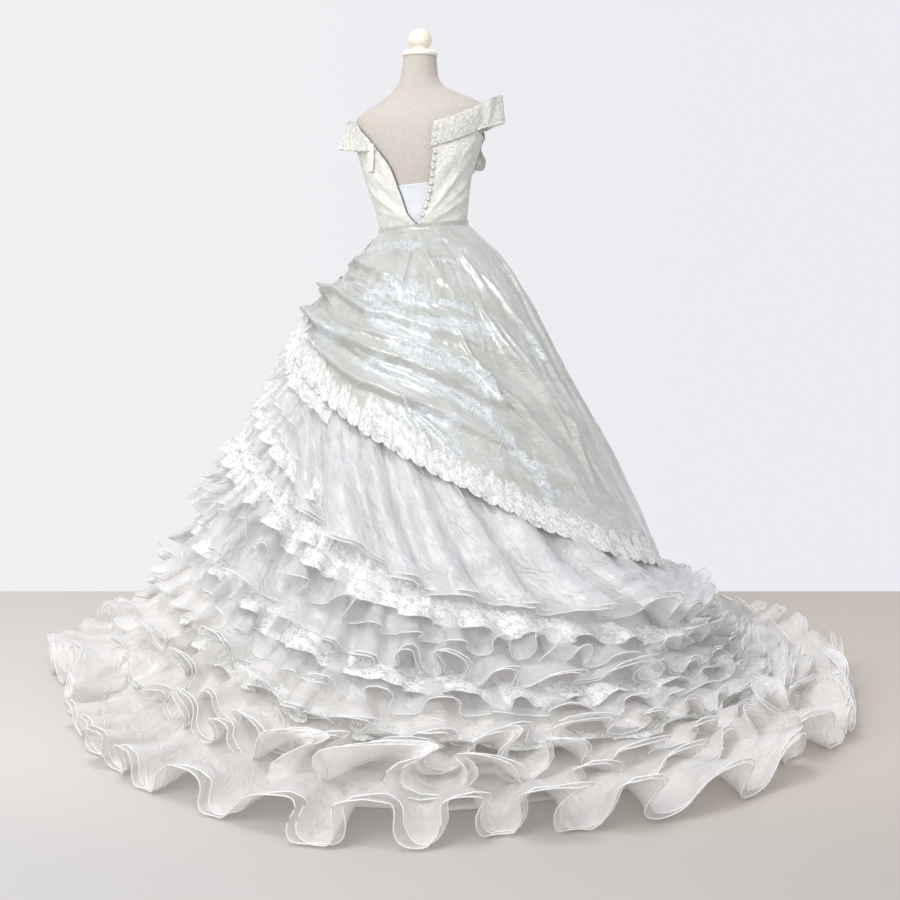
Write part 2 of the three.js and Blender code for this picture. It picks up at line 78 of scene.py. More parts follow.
TORSO_SECTIONS = np.array([
    (830, 158, 158, 118, 108, 0),
    (910, 162, 162, 124, 112, 2),
    (990, 132, 132, 102, 102, 4),
    (1070, 111, 105, 88, 94, 5),
    (1115, 116, 110, 88, 104, 3),
    (1160, 122, 122, 90, 120, 1),
    (1205, 131, 135, 93, 128, -1),
    (1250, 146, 147, 95, 120, -1),
    (1300, 161, 160, 94, 104, -1),
    (1345, 174, 172, 88, 86, 0),
    (1372, 172, 170, 80, 74, 1),
    (1392, 146, 146, 72, 66, 1),
    (1412, 106, 108, 64, 60, 0),
    (1432, 70, 74, 56, 56, -1),
    (1460, 50, 52, 50, 50, -1),
    (1517, 43, 43, 43, 43, 0),
], dtype=float)

# The open back: height, then the angle of the left and of the right edge

BACK_EDGES = np.array([
    (1076, -6.8, -6.4),
    (1087, -8, -6),
    (1106, -15, -2),
    (1119, -19, 0.6),
    (1138, -21, 4.4),
    (1160, -23, 7),
    (1180, -25.3, 8.8),
    (1206, -27.6, 10),
    (1236, -31.2, 10.5),
    (1256, -35.3, 10.8),
    (1271, -39.4, 10.6),
    (1298, -46, 10),
    (1320, -52, 8.8),
    (1340, -59, 8.5),
    (1358, -65.5, 8.5),
], dtype=float)


# Curves and noise

def smooth(t):
    """A soft step from 0 to 1."""
    t = np.clip(t, 0, 1)
    return t * t * (3 - 2 * t)


def cubic(before, first, last, after, t):
    """A smooth curve from first to last that also looks at the values on either side."""
    leave = (last - before) / 2
    arrive = (after - first) / 2
    t2 = t * t
    t3 = t2 * t
    blend = (2 * t3 - 3 * t2 + 1) * first + (t3 - 2 * t2 + t) * leave
    return blend + (3 * t2 - 2 * t3) * last + (t3 - t2) * arrive


def around(row, angle):
    """A value given in eight directions, at any angle."""
    eighths = np.mod(np.asarray(angle, float) / 45, 8)
    i = np.floor(eighths).astype(int)
    pick = [row[..., (i + k) % 8] for k in (-1, 0, 1, 2)]
    return cubic(*pick, eighths - i)


def column(table, key, height):
    """A column of a table by height, at any height."""
    heights = table[:, 0]
    height = np.clip(height, heights[0], heights[-1])
    i = np.clip(np.searchsorted(heights, height, side="right") - 1, 0, len(heights) - 2)
    last = len(heights) - 1
    pick = [table[np.clip(i + k, 0, last), key] for k in (-1, 0, 1, 2)]
    return cubic(*pick, (height - heights[i]) / (heights[i + 1] - heights[i]))


LATTICE = 64


def noise(u, v, seed):
    """Smooth noise from -1 to 1 on a lattice of unit cells."""
    lattice = np.random.default_rng(seed).uniform(-1, 1, (LATTICE, LATTICE))
    iu = np.floor(u).astype(int)
    iv = np.floor(v).astype(int)
    fu = smooth(u - iu)
    fv = smooth(v - iv)

    def row(k):
        here = lattice[iu % LATTICE, (iv + k) % LATTICE]
        after = lattice[(iu + 1) % LATTICE, (iv + k) % LATTICE]
        return here * (1 - fu) + after * fu

    return row(0) * (1 - fv) + row(1) * fv


def sliding_mean(values, width, ring):
    """The mean over a window along the first axis, which closes on itself for a ring."""
    half = width // 2
    if ring:
        pad = np.concatenate([values[-half - 1:-1], values, values[1:half + 1]])
    else:
        pad = np.concatenate([np.repeat(values[:1], half, 0), values, np.repeat(values[-1:], half, 0)])
    total = np.concatenate([np.zeros_like(pad[:1]), np.cumsum(pad, 0)])
    size = 2 * half + 1
    return (total[size:] - total[:-size])[:len(values)] / size


# The skirt's surface, sampled once on a grid of angle and drop

PROFILE_STEP = 0.005
PROFILE_REACH = 2.4
PROFILE_TURN = 2
PROFILE_ANGLES = np.arange(0, 361, PROFILE_TURN)
NORMAL_STEPS = 8


def skirt_profiles():
    """Radius, height, the two parts of the normal, and the length to the train's edge, for each angle."""
    drops = np.arange(0, PROFILE_REACH, PROFILE_STEP)
    radius = np.zeros((len(PROFILE_ANGLES), len(drops)))
    height = np.zeros_like(radius)
    edge = np.zeros(len(PROFILE_ANGLES))
    for i, angle in enumerate(PROFILE_ANGLES):
        radii = around(SKIRT_SECTIONS[:, 1:], angle)
        points = np.stack([radii, SKIRT_SECTIONS[:, 0]], 1)
        ends = np.concatenate([points[:1], points, points[-1:]])
        t = np.linspace(0, 1, 12, endpoint=False)[:, None]
        parts = [cubic(ends[k], ends[k + 1], ends[k + 2], ends[k + 3], t) for k in range(len(points) - 1)]
        curve = np.concatenate(parts + [points[-1:]])
        curve[:, 1] = np.maximum(curve[:, 1], 0)
        length = np.concatenate([[0], np.cumsum(np.hypot(*np.diff(curve, axis=0).T))])
        edge[i] = length[-1]
        radius[i] = np.interp(drops, length, curve[:, 0]) + np.maximum(drops - length[-1], 0)
        height[i] = np.interp(drops, length, curve[:, 1])
    wide = 2 * NORMAL_STEPS
    pad = ((0, 0), (NORMAL_STEPS, NORMAL_STEPS))
    padded_radius = np.pad(radius, pad, mode="edge")
    padded_height = np.pad(height, pad, mode="edge")
    out = padded_radius[:, wide:] - padded_radius[:, :-wide]
    fall = padded_height[:, :-wide] - padded_height[:, wide:]
    norm = np.hypot(out, fall) + 1e-9
    return radius, height, fall / norm, out / norm, edge


RADIUS, HEIGHT, NORMAL_OUT, NORMAL_UP, EDGE = skirt_profiles()


def sample(grid, angle, drop):
    """A value of a grid at any angle and drop."""
    around_share = np.mod(angle, 360) / PROFILE_TURN
    i = np.clip(np.floor(around_share).astype(int), 0, grid.shape[0] - 2)
    down_share = np.clip(drop / PROFILE_STEP, 0, grid.shape[1] - 2.001)
    j = np.floor(down_share).astype(int)
    across = around_share - i
    down = down_share - j
    top = grid[i, j] * (1 - across) + grid[i + 1, j] * across
    low = grid[i, j + 1] * (1 - across) + grid[i + 1, j + 1] * across
    return top * (1 - down) + low * down


def train_edge(angle):
    return np.interp(np.mod(angle, 360), PROFILE_ANGLES, EDGE)


def skirt_radius(angle, drop):
    return sample(RADIUS, angle, drop)


def skirt_point(angle, drop, lift, lean=0.0):
    """A point of the skirt; lean turns the lift inwards where the cloth lies on the floor."""
    angle, drop, lift = np.broadcast_arrays(angle, drop, lift)
    up = sample(NORMAL_UP, angle, drop)
    out = sample(NORMAL_OUT, angle, drop) - lean * smooth((up - 0.6) / 0.4)
    size = np.hypot(out, up)
    radius = sample(RADIUS, angle, drop) + lift * out / size
    height = sample(HEIGHT, angle, drop) + lift * up / size + np.maximum(-drop, 0)
    x = radius * np.sin(np.radians(angle))
    y = -radius * np.cos(np.radians(angle))
    tilt = TILT * np.clip(1 - drop / (TILT_REACH * MM), 0, 1)
    return np.stack([x, y, height + tilt * x], -1)


def torso_point(angle, height, lift):
    """A point of the torso; height and lift are in millimetres, the result in metres."""
    angle, height, lift = np.broadcast_arrays(np.asarray(angle, float), height, lift)
    turned = np.radians(angle - TORSO_TURN)
    sine = np.sin(turned)
    cosine = -np.cos(turned)
    wide = np.where(sine >= 0, column(TORSO_SECTIONS, 1, height), column(TORSO_SECTIONS, 2, height)) + lift
    deep = np.where(cosine >= 0, column(TORSO_SECTIONS, 4, height), column(TORSO_SECTIONS, 3, height)) + lift
    x = wide * sine
    y = deep * cosine
    turn = math.radians(TORSO_TURN)
    level = np.clip((NECK_TOP - height) / 90, 0, 1) * np.clip((height - FORM_BOTTOM) / 150, 0, 1)
    across = x * math.cos(turn) - y * math.sin(turn) + column(TORSO_SECTIONS, 5, height)
    back = x * math.sin(turn) + y * math.cos(turn)
    return np.stack([across, back, height + TILT * level * across], -1) * MM


# Meshes

def make_mesh(name, verts, faces, materials, uvs=None, face_materials=None, flat=False):
    mesh = bpy.data.meshes.new(name)
    mesh.from_pydata([tuple(v) for v in verts], [], [tuple(f) for f in faces])
    for material in materials:
        mesh.materials.append(material)
    if uvs is not None:
        layer = mesh.uv_layers.new(name="cloth")
        loops = np.zeros(len(mesh.loops), dtype=np.int32)
        mesh.loops.foreach_get("vertex_index", loops)
        layer.data.foreach_set("uv", np.asarray(uvs, np.float32)[loops].ravel())
    if face_materials is not None:
        mesh.polygons.foreach_set("material_index", np.asarray(face_materials, np.int32))
    if not flat:
        mesh.polygons.foreach_set("use_smooth", np.ones(len(mesh.polygons), dtype=bool))
    mesh.update()
    piece = bpy.data.objects.new(name, mesh)
    bpy.context.scene.collection.objects.link(piece)
    return piece


def grid_faces(columns, rows, ring=False, start=0, flip=False):
    """Quads of a grid stored column by column."""
    i = np.arange(columns if ring else columns - 1)
    j = np.arange(rows - 1)
    i, j = np.meshgrid(i, j, indexing="ij")
    k = (i + 1) % columns
    quads = np.stack([i * rows + j, i * rows + j + 1, k * rows + j + 1, k * rows + j], -1).reshape(-1, 4)
    return (quads[:, ::-1] if flip else quads) + start


def grid_normals(points):
    across = np.gradient(points, axis=0)
    down = np.gradient(points, axis=1)
    normal = np.cross(down, across)
    return normal / (np.linalg.norm(normal, axis=-1, keepdims=True) + 1e-12)


def cloth_uv(points):
    """Flat coordinates in metres, measured along the cloth."""
    across = np.linalg.norm(np.diff(points, axis=0), axis=-1).mean(axis=1)
    u = np.concatenate([[0], np.cumsum(across)])
    down = np.linalg.norm(np.diff(points, axis=1), axis=-1)
    v = np.concatenate([np.zeros((len(points), 1)), np.cumsum(down, axis=1)], axis=1)
    return np.stack([np.repeat(u[:, None], points.shape[1], 1), v], -1)


class Builder:
    """Collects grids and tubes and joins them in one mesh."""

    def __init__(self):
        self.verts = []
        self.faces = []
        self.uvs = []
        self.slots = []
        self.count = 0

    def add(self, verts, faces, uvs, slot=0):
        self.verts.append(np.asarray(verts, float).reshape(-1, 3))
        self.uvs.append(np.asarray(uvs, float).reshape(-1, 2))
        faces = faces.tolist() if isinstance(faces, np.ndarray) else faces
        self.faces.extend([[n + self.count for n in face] for face in faces])
        self.slots.extend([slot] * len(faces))
        self.count += len(self.verts[-1])

    def sheet(self, points, slot=0, uvs=None):
        uvs = cloth_uv(points) if uvs is None else uvs
        self.add(points, grid_faces(*points.shape[:2]), uvs, slot)

    def shell(self, points, thickness, slot=0, uvs=None):
        """A closed thin wall: the points are its outside."""
        columns, rows = points.shape[:2]
        uvs = cloth_uv(points) if uvs is None else uvs
        inside = points - grid_normals(points) * thickness
        both = np.concatenate([points.reshape(-1, 3), inside.reshape(-1, 3)])
        offset = columns * rows
        faces = [grid_faces(columns, rows), grid_faces(columns, rows, start=offset, flip=True)]
        index = np.arange(offset).reshape(columns, rows)
        for line, flip in ((index[:, 0], True), (index[:, -1], False), (index[0], False), (index[-1], True)):
            a, b = line[:-1], line[1:]
            quad = np.stack([a, b, b + offset, a + offset], -1)
            faces.append(quad[:, ::-1] if not flip else quad)
        self.add(both, np.concatenate(faces), np.concatenate([uvs.reshape(-1, 2)] * 2), slot)

    def tube(self, path, radius, sides=6, slot=0, ring=False):
        """A tube along a path of points, with closed ends."""
        path = np.asarray(path, float)
        count = len(path)
        tangent = np.gradient(path, axis=0)
        if ring:
            tangent = np.roll(path, -1, 0) - np.roll(path, 1, 0)
        tangent /= np.linalg.norm(tangent, axis=1, keepdims=True) + 1e-12
        side = np.cross(tangent, (0.31, 0.17, 0.93))
        side /= np.linalg.norm(side, axis=1, keepdims=True) + 1e-12
        up = np.cross(side, tangent)
        turn = np.linspace(0, 2 * np.pi, sides, endpoint=False)
        radius = np.broadcast_to(radius, (count,))[:, None, None]
        ringed = side[:, None] * np.cos(turn)[None, :, None] + up[:, None] * np.sin(turn)[None, :, None]
        verts = path[:, None] + ringed * radius
        i = np.arange(count if ring else count - 1)
        j = np.arange(sides)
        i, j = np.meshgrid(i, j, indexing="ij")
        k = (i + 1) % count
        m = (j + 1) % sides
        quads = np.stack([i * sides + j, i * sides + m, k * sides + m, k * sides + j], -1).reshape(-1, 4)
        faces = quads.tolist()
        if not ring:
            faces.append(list(range(sides))[::-1])
            faces.append(list(range((count - 1) * sides, count * sides)))
        length = np.concatenate([[0], np.cumsum(np.linalg.norm(np.diff(path, axis=0), axis=1))])
        uv = np.stack(np.meshgrid(length, turn * MM, indexing="ij"), -1)
        self.add(verts, faces, uv, slot)

    def lathe(self, profile, centre=(0, 0, 0), axis=(0, 0, 1), segments=24, slot=0):
        """A turned solid: the profile is (radius, distance along the axis) from pole to pole."""
        profile = np.asarray(profile, float)
        axis = np.asarray(axis, float) / np.linalg.norm(axis)
        side = np.cross(axis, (0.0, 1.0, 0.0) if abs(axis[1]) < 0.9 else (1.0, 0.0, 0.0))
        side /= np.linalg.norm(side)
        other = np.cross(axis, side)
        turn = np.linspace(0, 2 * np.pi, segments, endpoint=False)
        spokes = side * np.cos(turn)[:, None] + other * np.sin(turn)[:, None]
        inner = profile[1:-1]
        verts = np.asarray(centre) + spokes[:, None] * inner[None, :, :1] + axis * inner[None, :, 1:]
        ends = [np.asarray(centre) + axis * profile[0, 1], np.asarray(centre) + axis * profile[-1, 1]]
        rows = len(inner)
        faces = grid_faces(segments, rows, ring=True, flip=True).tolist()
        pole = segments * rows
        for i in range(segments):
            k = (i + 1) % segments
            faces.append([pole, k * rows, i * rows])
            faces.append([pole + 1, i * rows + rows - 1, k * rows + rows - 1])
        length = np.concatenate([[0], np.cumsum(np.hypot(*np.diff(profile, axis=0).T))])
        uv = np.stack(np.meshgrid(turn * profile[:, 0].max(), length[1:-1], indexing="ij"), -1)
        uv = np.concatenate([uv.reshape(-1, 2), [[0, 0], [0, length[-1]]]])
        self.add(np.concatenate([verts.reshape(-1, 3), ends]), faces, uv, slot)

    def build(self, name, materials):
        verts = np.concatenate(self.verts)
        uvs = np.concatenate(self.uvs)
        return make_mesh(name, verts, self.faces, materials, uvs, self.slots)


def seat(piece, slot, *nodes):
    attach(piece, "root")
    if nodes:
        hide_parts(*nodes)
    return piece


def shares(columns, rows):
    """The shares across and down a grid, from 0 to 1."""
    return np.linspace(0, 1, columns)[:, None], np.linspace(0, 1, rows)[None, :]


def declare(points):
    """Works out the area of each cell of a sheet, halved along its edges; nothing is kept of it."""
    cell = np.linalg.norm(np.cross(np.gradient(points, axis=0), np.gradient(points, axis=1)), axis=-1)
    cell[[0, -1]] *= 0.5
    cell[:, [0, -1]] *= 0.5


def cloth(name, points, thickness, material, slot, node):
    """A piece of cloth: a closed wall, with its thickness in millimetres, or one sheet when that is 0."""
    build = Builder()
    if thickness:
        build.shell(points, thickness * MM)
    else:
        build.sheet(points)
    piece = seat(build.build(name, [material]), slot, node)
    declare(points)
    return piece


# Materials

class Nodes:
    """Short calls for building a material's nodes."""

    def __init__(self, name, color, roughness, **sockets):
        self.material = bpy.data.materials.new(name)
        self.material.use_nodes = True
        self.tree = self.material.node_tree
        self.shader = self.tree.nodes["Principled BSDF"]
        self.set(self.shader, **{"Base Color": (*color, 1), "Roughness": roughness}, **sockets)
        self.cloth = self.tree.nodes.new("ShaderNodeUVMap")
        self.cloth.uv_map = "cloth"
        self.uv = self.cloth.outputs["UV"]

    def set(self, node, **sockets):
        for name, value in sockets.items():
            self.put(node.inputs[name], value)

    def put(self, socket, value):
        if isinstance(value, bpy.types.NodeSocket):
            self.tree.links.new(value, socket)
        else:
            socket.default_value = value

    def math(self, operation, a, b=0.0, c=None, clamp=False):
        node = self.tree.nodes.new("ShaderNodeMath")
        node.operation = operation
        node.use_clamp = clamp
        self.put(node.inputs[0], a)
        self.put(node.inputs[1], b)
        if c is not None:
            self.put(node.inputs[2], c)
        return node.outputs[0]

    def vector(self, operation, a, b=(0, 0, 0)):
        node = self.tree.nodes.new("ShaderNodeVectorMath")
        node.operation = operation
        self.put(node.inputs[0], a)
        self.put(node.inputs[1], b)
        return node.outputs["Value" if operation == "LENGTH" else "Vector"]

    def split(self, vector):
        node = self.tree.nodes.new("ShaderNodeSeparateXYZ")
        self.put(node.inputs[0], vector)
        return node.outputs

    def paint(self, color):
        self.put(self.shader.inputs["Base Color"], color)

    def crest(self, value):
        """How far a noise is from its middle value: sharp lines at 0."""
        return self.math("ABSOLUTE", self.math("SUBTRACT", value, 0.5))

    def stretched(self, x, y, source=None):
        return self.vector("MULTIPLY", source or self.uv, (x, y, 1))

    def noise(self, vector, scale, detail=3.0, roughness=0.5, distortion=0.0):
        node = self.tree.nodes.new("ShaderNodeTexNoise")
        node.noise_dimensions = "2D"
        self.set(node, Vector=vector, Scale=scale, Detail=detail, Roughness=roughness, Distortion=distortion)
        return node.outputs["Fac"]

    def voronoi(self, vector, scale, feature="F1", randomness=1.0, output="Distance"):
        node = self.tree.nodes.new("ShaderNodeTexVoronoi")
        node.voronoi_dimensions = "2D"
        node.feature = feature
        self.set(node, Vector=vector, Scale=scale, Randomness=randomness)
        return node.outputs[output]

    def band(self, value, low, high):
        """0 below low and 1 above high, or the reverse when low is above high."""
        node = self.tree.nodes.new("ShaderNodeMapRange")
        node.interpolation_type = "SMOOTHSTEP"
        ends = (low, high, 0, 1) if low <= high else (high, low, 1, 0)
        sockets = dict(zip(("From Min", "From Max", "To Min", "To Max"), ends))
        self.set(node, Value=value, **sockets)
        return node.outputs["Result"]

    def mix(self, factor, a, b):
        node = self.tree.nodes.new("ShaderNodeMix")
        node.data_type = "RGBA"
        self.put(node.inputs[0], factor)
        self.put(node.inputs[6], (*a, 1) if isinstance(a, tuple) else a)
        self.put(node.inputs[7], (*b, 1) if isinstance(b, tuple) else b)
        return node.outputs[2]

    def bump(self, height, distance, strength=1.0):
        node = self.tree.nodes.new("ShaderNodeBump")
        self.set(node, Height=height, Distance=distance, Strength=strength)
        self.put(self.shader.inputs["Normal"], node.outputs["Normal"])


def shade(color, factor):
    return tuple(min(1.0, factor * c) for c in color)


def flower(nodes, size, petals, seed_shift):
    """A mask of scattered flowers with petals, outlined like cord."""
    where = nodes.vector("ADD", nodes.uv, (seed_shift, seed_shift * 0.7, 0))
    centre = nodes.voronoi(where, 1 / size, randomness=0.75, output="Position")
    away = nodes.vector("SUBTRACT", where, centre)
    parts = nodes.split(away)
    turn = nodes.math("ARCTAN2", parts["Y"], parts["X"])
    radius = nodes.vector("LENGTH", away)
    wobble = nodes.math("COSINE", nodes.math("MULTIPLY", turn, float(petals)))
    outline = nodes.math("MULTIPLY_ADD", wobble, 0.1 * size, 0.33 * size)
    off = nodes.math("SUBTRACT", radius, outline)
    fill = nodes.band(off, 0.04 * size, -0.02 * size)
    cord = nodes.band(nodes.math("ABSOLUTE", off), 0.07 * size, 0.02 * size)
    eye = nodes.band(radius, 0.12 * size, 0.07 * size)
    return fill, nodes.math("MAXIMUM", cord, eye)


NET_MESH = 0.0024


def lace_masks(nodes, size):
    """Where the lace has cloth and where it has raised cord, from 0 to 1."""
    big_fill, big_cord = flower(nodes, size, 5, 0.0)
    small_fill, small_cord = flower(nodes, size * 0.5, 4, 3.7)
    sprig = nodes.noise(nodes.uv, 1 / (size * 0.55), detail=1.0, distortion=1.2)
    stem = nodes.band(nodes.crest(sprig), 0.035, 0.015)
    big = nodes.math("MULTIPLY", big_fill, 0.85)
    small = nodes.math("MULTIPLY", small_fill, 0.75)
    fill = nodes.math("MAXIMUM", big, small)
    cord = nodes.math("MAXIMUM", nodes.math("MAXIMUM", big_cord, small_cord), stem)
    return fill, cord


def lace_material(name, color, opacity_of_net, size, fade=0.0):
    """Net with flowers in cord. Where fade is set, the net thins out towards the upper edge."""
    nodes = Nodes(name, color, 0.7, **{"Sheen Weight": 0.3, "Specular IOR Level": 0.35})
    fill, cord = lace_masks(nodes, size)
    net = nodes.voronoi(nodes.uv, 1 / NET_MESH, feature="DISTANCE_TO_EDGE", randomness=0.25)
    thread = nodes.math("MULTIPLY", nodes.band(net, 0.16, 0.07), opacity_of_net)
    alpha = nodes.math("MAXIMUM", nodes.math("MAXIMUM", fill, cord), thread, clamp=True)
    alpha = nodes.math("MAXIMUM", alpha, opacity_of_net * 0.7)
    if fade:
        cloud = nodes.math("SUBTRACT", nodes.noise(nodes.uv, 45.0, detail=2.0), 0.5)
        edge = nodes.math("MULTIPLY_ADD", cloud, 2 * fade, nodes.split(nodes.uv)["Y"])
        alpha = nodes.math("MULTIPLY", alpha, nodes.band(edge, 0.15 * fade, fade))
    nodes.put(nodes.shader.inputs["Alpha"], alpha)
    nodes.paint(nodes.mix(cord, shade(color, 0.95), color))
    nodes.bump(nodes.math("ADD", nodes.math("MULTIPLY", fill, 0.5), cord), 0.0003)
    return nodes.material


def bodice_material():
    nodes = Nodes("bodice_lace", (0.87, 0.865, 0.80), 0.6, **{
        "Sheen Weight": 0.25, "Specular IOR Level": 0.4})
    fill, cord = lace_masks(nodes, 0.03)
    raised = nodes.math("ADD", nodes.math("MULTIPLY", fill, 0.4), cord)
    crepe = nodes.noise(nodes.uv, 900.0, detail=2.0)
    nodes.paint(nodes.mix(cord, (0.83, 0.825, 0.76), (0.91, 0.91, 0.86)))
    nodes.bump(nodes.math("ADD", raised, nodes.math("MULTIPLY", crepe, 0.2)), 0.0009)
    return nodes.material


def satin_material(name, color, roughness=0.42):
    nodes = Nodes(name, color, roughness, **{"Sheen Weight": 0.2, "Specular IOR Level": 0.5})
    weave = nodes.noise(nodes.stretched(260, 2200), 1.0, detail=2.0)
    soft = nodes.noise(nodes.uv, 14.0, detail=2.0)
    nodes.paint(nodes.mix(nodes.band(soft, 0.35, 0.65), shade(color, 0.94), color))
    nodes.bump(weave, 0.0002)
    return nodes.material


def crystal_material():
    """Shiny crystal organza: crinkled along the folds, with cool bright patches of painted highlight in its
    colour.
    """
    nodes = Nodes("crystal_organza", (0.64, 0.64, 0.60), 0.33, **{
        "Specular IOR Level": 0.8, "Specular Tint": (0.95, 0.98, 1.0, 1), "Coat Weight": 1.0,
        "Coat Roughness": 0.19, "Coat IOR": 1.7, "Coat Tint": (0.98, 0.99, 1.0, 1), "Alpha": 0.96})
    broad = nodes.noise(nodes.uv, 8.0, detail=2.0, distortion=0.5)
    turned = nodes.tree.nodes.new("ShaderNodeVectorRotate")
    turned.rotation_type = "Z_AXIS"
    nodes.set(turned, Vector=nodes.uv, Angle=-0.5)
    pulled = nodes.vector("MULTIPLY", turned.outputs["Vector"], (12, 75, 1))
    crease = nodes.noise(pulled, 1.0, detail=3.0, roughness=0.62, distortion=0.8)
    ridge = nodes.crest(crease)
    foil = nodes.noise(nodes.uv, 46.0, detail=3.0, roughness=0.6, distortion=1.3)
    facet = nodes.crest(foil)
    crinkle = nodes.math("ADD", nodes.math("MULTIPLY", ridge, -1.2), nodes.math("MULTIPLY", facet, -1.0))
    tone = nodes.mix(nodes.band(broad, 0.3, 0.7), (0.53, 0.53, 0.485), (0.60, 0.60, 0.56))
    # The glint attribute gives the bands where a highlight is painted into the colour; there the crinkle bump
    # is also stronger.
    attribute = nodes.tree.nodes.new("ShaderNodeAttribute")
    attribute.attribute_name = "glint"
    painted_glint_mask = attribute.outputs["Fac"]
    long_grain = nodes.vector("MULTIPLY", turned.outputs["Vector"], (5, 16, 1))
    sheen = nodes.noise(long_grain, 1.0, detail=3.0, distortion=1.2)
    # Faint painted sheen: lighter streaks along the crinkle.
    painted_sheen_streaks = nodes.math("MULTIPLY", nodes.band(nodes.math("MULTIPLY_ADD", ridge, -0.6, sheen), 0.5, 0.66), 0.3)
    painted_glint_bands = nodes.math("MULTIPLY_ADD", facet, -2.4, nodes.math("MULTIPLY_ADD", sheen, 0.9, painted_glint_mask))
    painted_glint_bands = nodes.band(painted_glint_bands, 0.42, 1.05)
    patch = nodes.math("MAXIMUM", painted_sheen_streaks, painted_glint_bands)
    # Painted highlight: cool bright white in the bands, with greyer lines where the crinkle folds.
    painted_highlight_tone = nodes.mix(nodes.band(facet, 0.02, 0.09), (0.68, 0.71, 0.715), (0.90, 0.93, 0.95))
    nodes.paint(nodes.mix(patch, tone, painted_highlight_tone))
    weave = nodes.noise(nodes.stretched(1900, 1900), 1.0, detail=1.0)
    strength = nodes.math("MULTIPLY_ADD", painted_glint_mask, 0.9, 0.55)
    nodes.bump(nodes.math("MULTIPLY_ADD", crinkle, strength, nodes.math("MULTIPLY", weave, 0.02)), 0.0062)
    return nodes.material


def organza_material(name, color, alpha, glow):
    """Sheer organza. A faint glow stands for the light that its stacked layers pass on to each other."""
    nodes = Nodes(name, color, 0.34, **{
        "Specular IOR Level": 0.8, "Sheen Weight": 0.2, "Coat Weight": 0.5, "Coat Roughness": 0.2,
        "Alpha": alpha, "Emission Color": (1.0, 0.985, 0.97, 1), "Emission Strength": glow})
    soft = nodes.noise(nodes.uv, 20.0, detail=2.0)
    fold = nodes.crest(nodes.noise(nodes.uv, 30.0, detail=2.0, roughness=0.6, distortion=1.0))
    streak = nodes.noise(nodes.stretched(60, 7), 1.0, detail=2.0)
    nodes.bump(nodes.math("MULTIPLY_ADD", fold, -1.6, nodes.math("MULTIPLY", streak, 0.5)), 0.006)
    nodes.paint(nodes.mix(nodes.band(soft, 0.35, 0.7), color, shade(color, 1.06)))
    return nodes.material


def lining_material():
    """Matt lining, cool white on the skirt and warm where the train lies on the floor: one cloth whose two
    tones are painted light and shade.
    """
    nodes = Nodes("skirt_lining", (0.8, 0.8, 0.8), 0.8, **{"Sheen Weight": 0.1})
    low = nodes.band(nodes.split(nodes.uv)["Y"], 0.95, 1.3)
    cloudy = nodes.noise(nodes.uv, 6.0, detail=2.0)
    warm = nodes.mix(nodes.band(cloudy, 0.35, 0.65), (0.82, 0.77, 0.745), (0.88, 0.845, 0.82))
    # Painted light and shade: a darker cool tone above, a warm tone where the train lies on the floor.
    nodes.paint(nodes.mix(low, (0.70, 0.715, 0.72), warm))
    nodes.bump(nodes.noise(nodes.stretched(900, 900), 1.0), 0.0002)
    return nodes.material


def linen_material():
    nodes = Nodes("linen", (0.66, 0.60, 0.535), 0.9, **{"Sheen Weight": 0.25})
    warp = nodes.noise(nodes.stretched(1100, 90), 1.0, detail=2.0)
    weft = nodes.noise(nodes.stretched(90, 1100), 1.0, detail=2.0)
    threads = nodes.math("ADD", warp, weft)
    slub = nodes.noise(nodes.stretched(30, 160), 1.0, detail=3.0)
    tone = nodes.mix(nodes.band(threads, 0.75, 1.25), (0.47, 0.43, 0.38), (0.62, 0.575, 0.52))
    nodes.paint(nodes.mix(nodes.math("MULTIPLY", slub, 0.35), tone, (0.58, 0.535, 0.48)))
    nodes.bump(threads, 0.0005)
    return nodes.material


def wood_material():
    nodes = Nodes("painted_wood", (0.85, 0.80, 0.69), 0.38, **{"Coat Weight": 0.25, "Coat Roughness": 0.25})
    brush = nodes.noise(nodes.stretched(12, 260), 1.0, detail=3.0)
    patch = nodes.noise(nodes.uv, 40.0, detail=2.0)
    nodes.paint(nodes.mix(nodes.band(patch, 0.3, 0.7), (0.80, 0.745, 0.63), (0.87, 0.82, 0.715)))
    nodes.bump(brush, 0.0003)
    return nodes.material


def plain_material(name, color, roughness):
    nodes = Nodes(name, color, roughness)
    grain = nodes.noise(nodes.uv, 120.0, detail=3.0)
    nodes.paint(nodes.mix(grain, shade(color, 0.92), color))
    nodes.bump(grain, 0.0002)
    return nodes.material


def metal_material():
    nodes = Nodes("stand_metal", (0.80, 0.79, 0.76), 0.4)
    place = nodes.tree.nodes.new("ShaderNodeTexCoord").outputs["Object"]
    grain = nodes.noise(place, 400.0, detail=2.0)
    nodes.paint(nodes.mix(grain, (0.76, 0.75, 0.72), (0.83, 0.82, 0.79)))
    nodes.bump(grain, 0.0001)
    return nodes.material


LINEN = linen_material()
WOOD = wood_material()
METAL = metal_material()
BODICE = bodice_material()
SATIN = satin_material("bodice_satin", (0.88, 0.875, 0.82))
# The inner panel's satin is painted greyer and cooler than white, for the shade inside the open back.
INNER = satin_material("inner_satin", (0.73, 0.75, 0.80), 0.5)
LACE = lace_material("lace", (0.89, 0.89, 0.87), 0.74, 0.026, fade=0.024)
LACE_FINE = lace_material("lace_fine", (0.84, 0.835, 0.775), 0.72, 0.016)
CRYSTAL = crystal_material()
# One organza in two copies, painted for how the light falls: the train's lighter and warmer, the upper rows'
# darker and cooler.
ORGANZA = organza_material("organza", (0.755, 0.765, 0.775), 0.54, 0.04)
ORGANZA_TRAIN = organza_material("organza_train", (0.88, 0.862, 0.845), 0.54, 0.052)
PIPING = satin_material("organza_piping", (0.93, 0.93, 0.93), 0.4)
LINING = lining_material()
PEARL = plain_material("pearl", (0.80, 0.79, 0.74), 0.25)
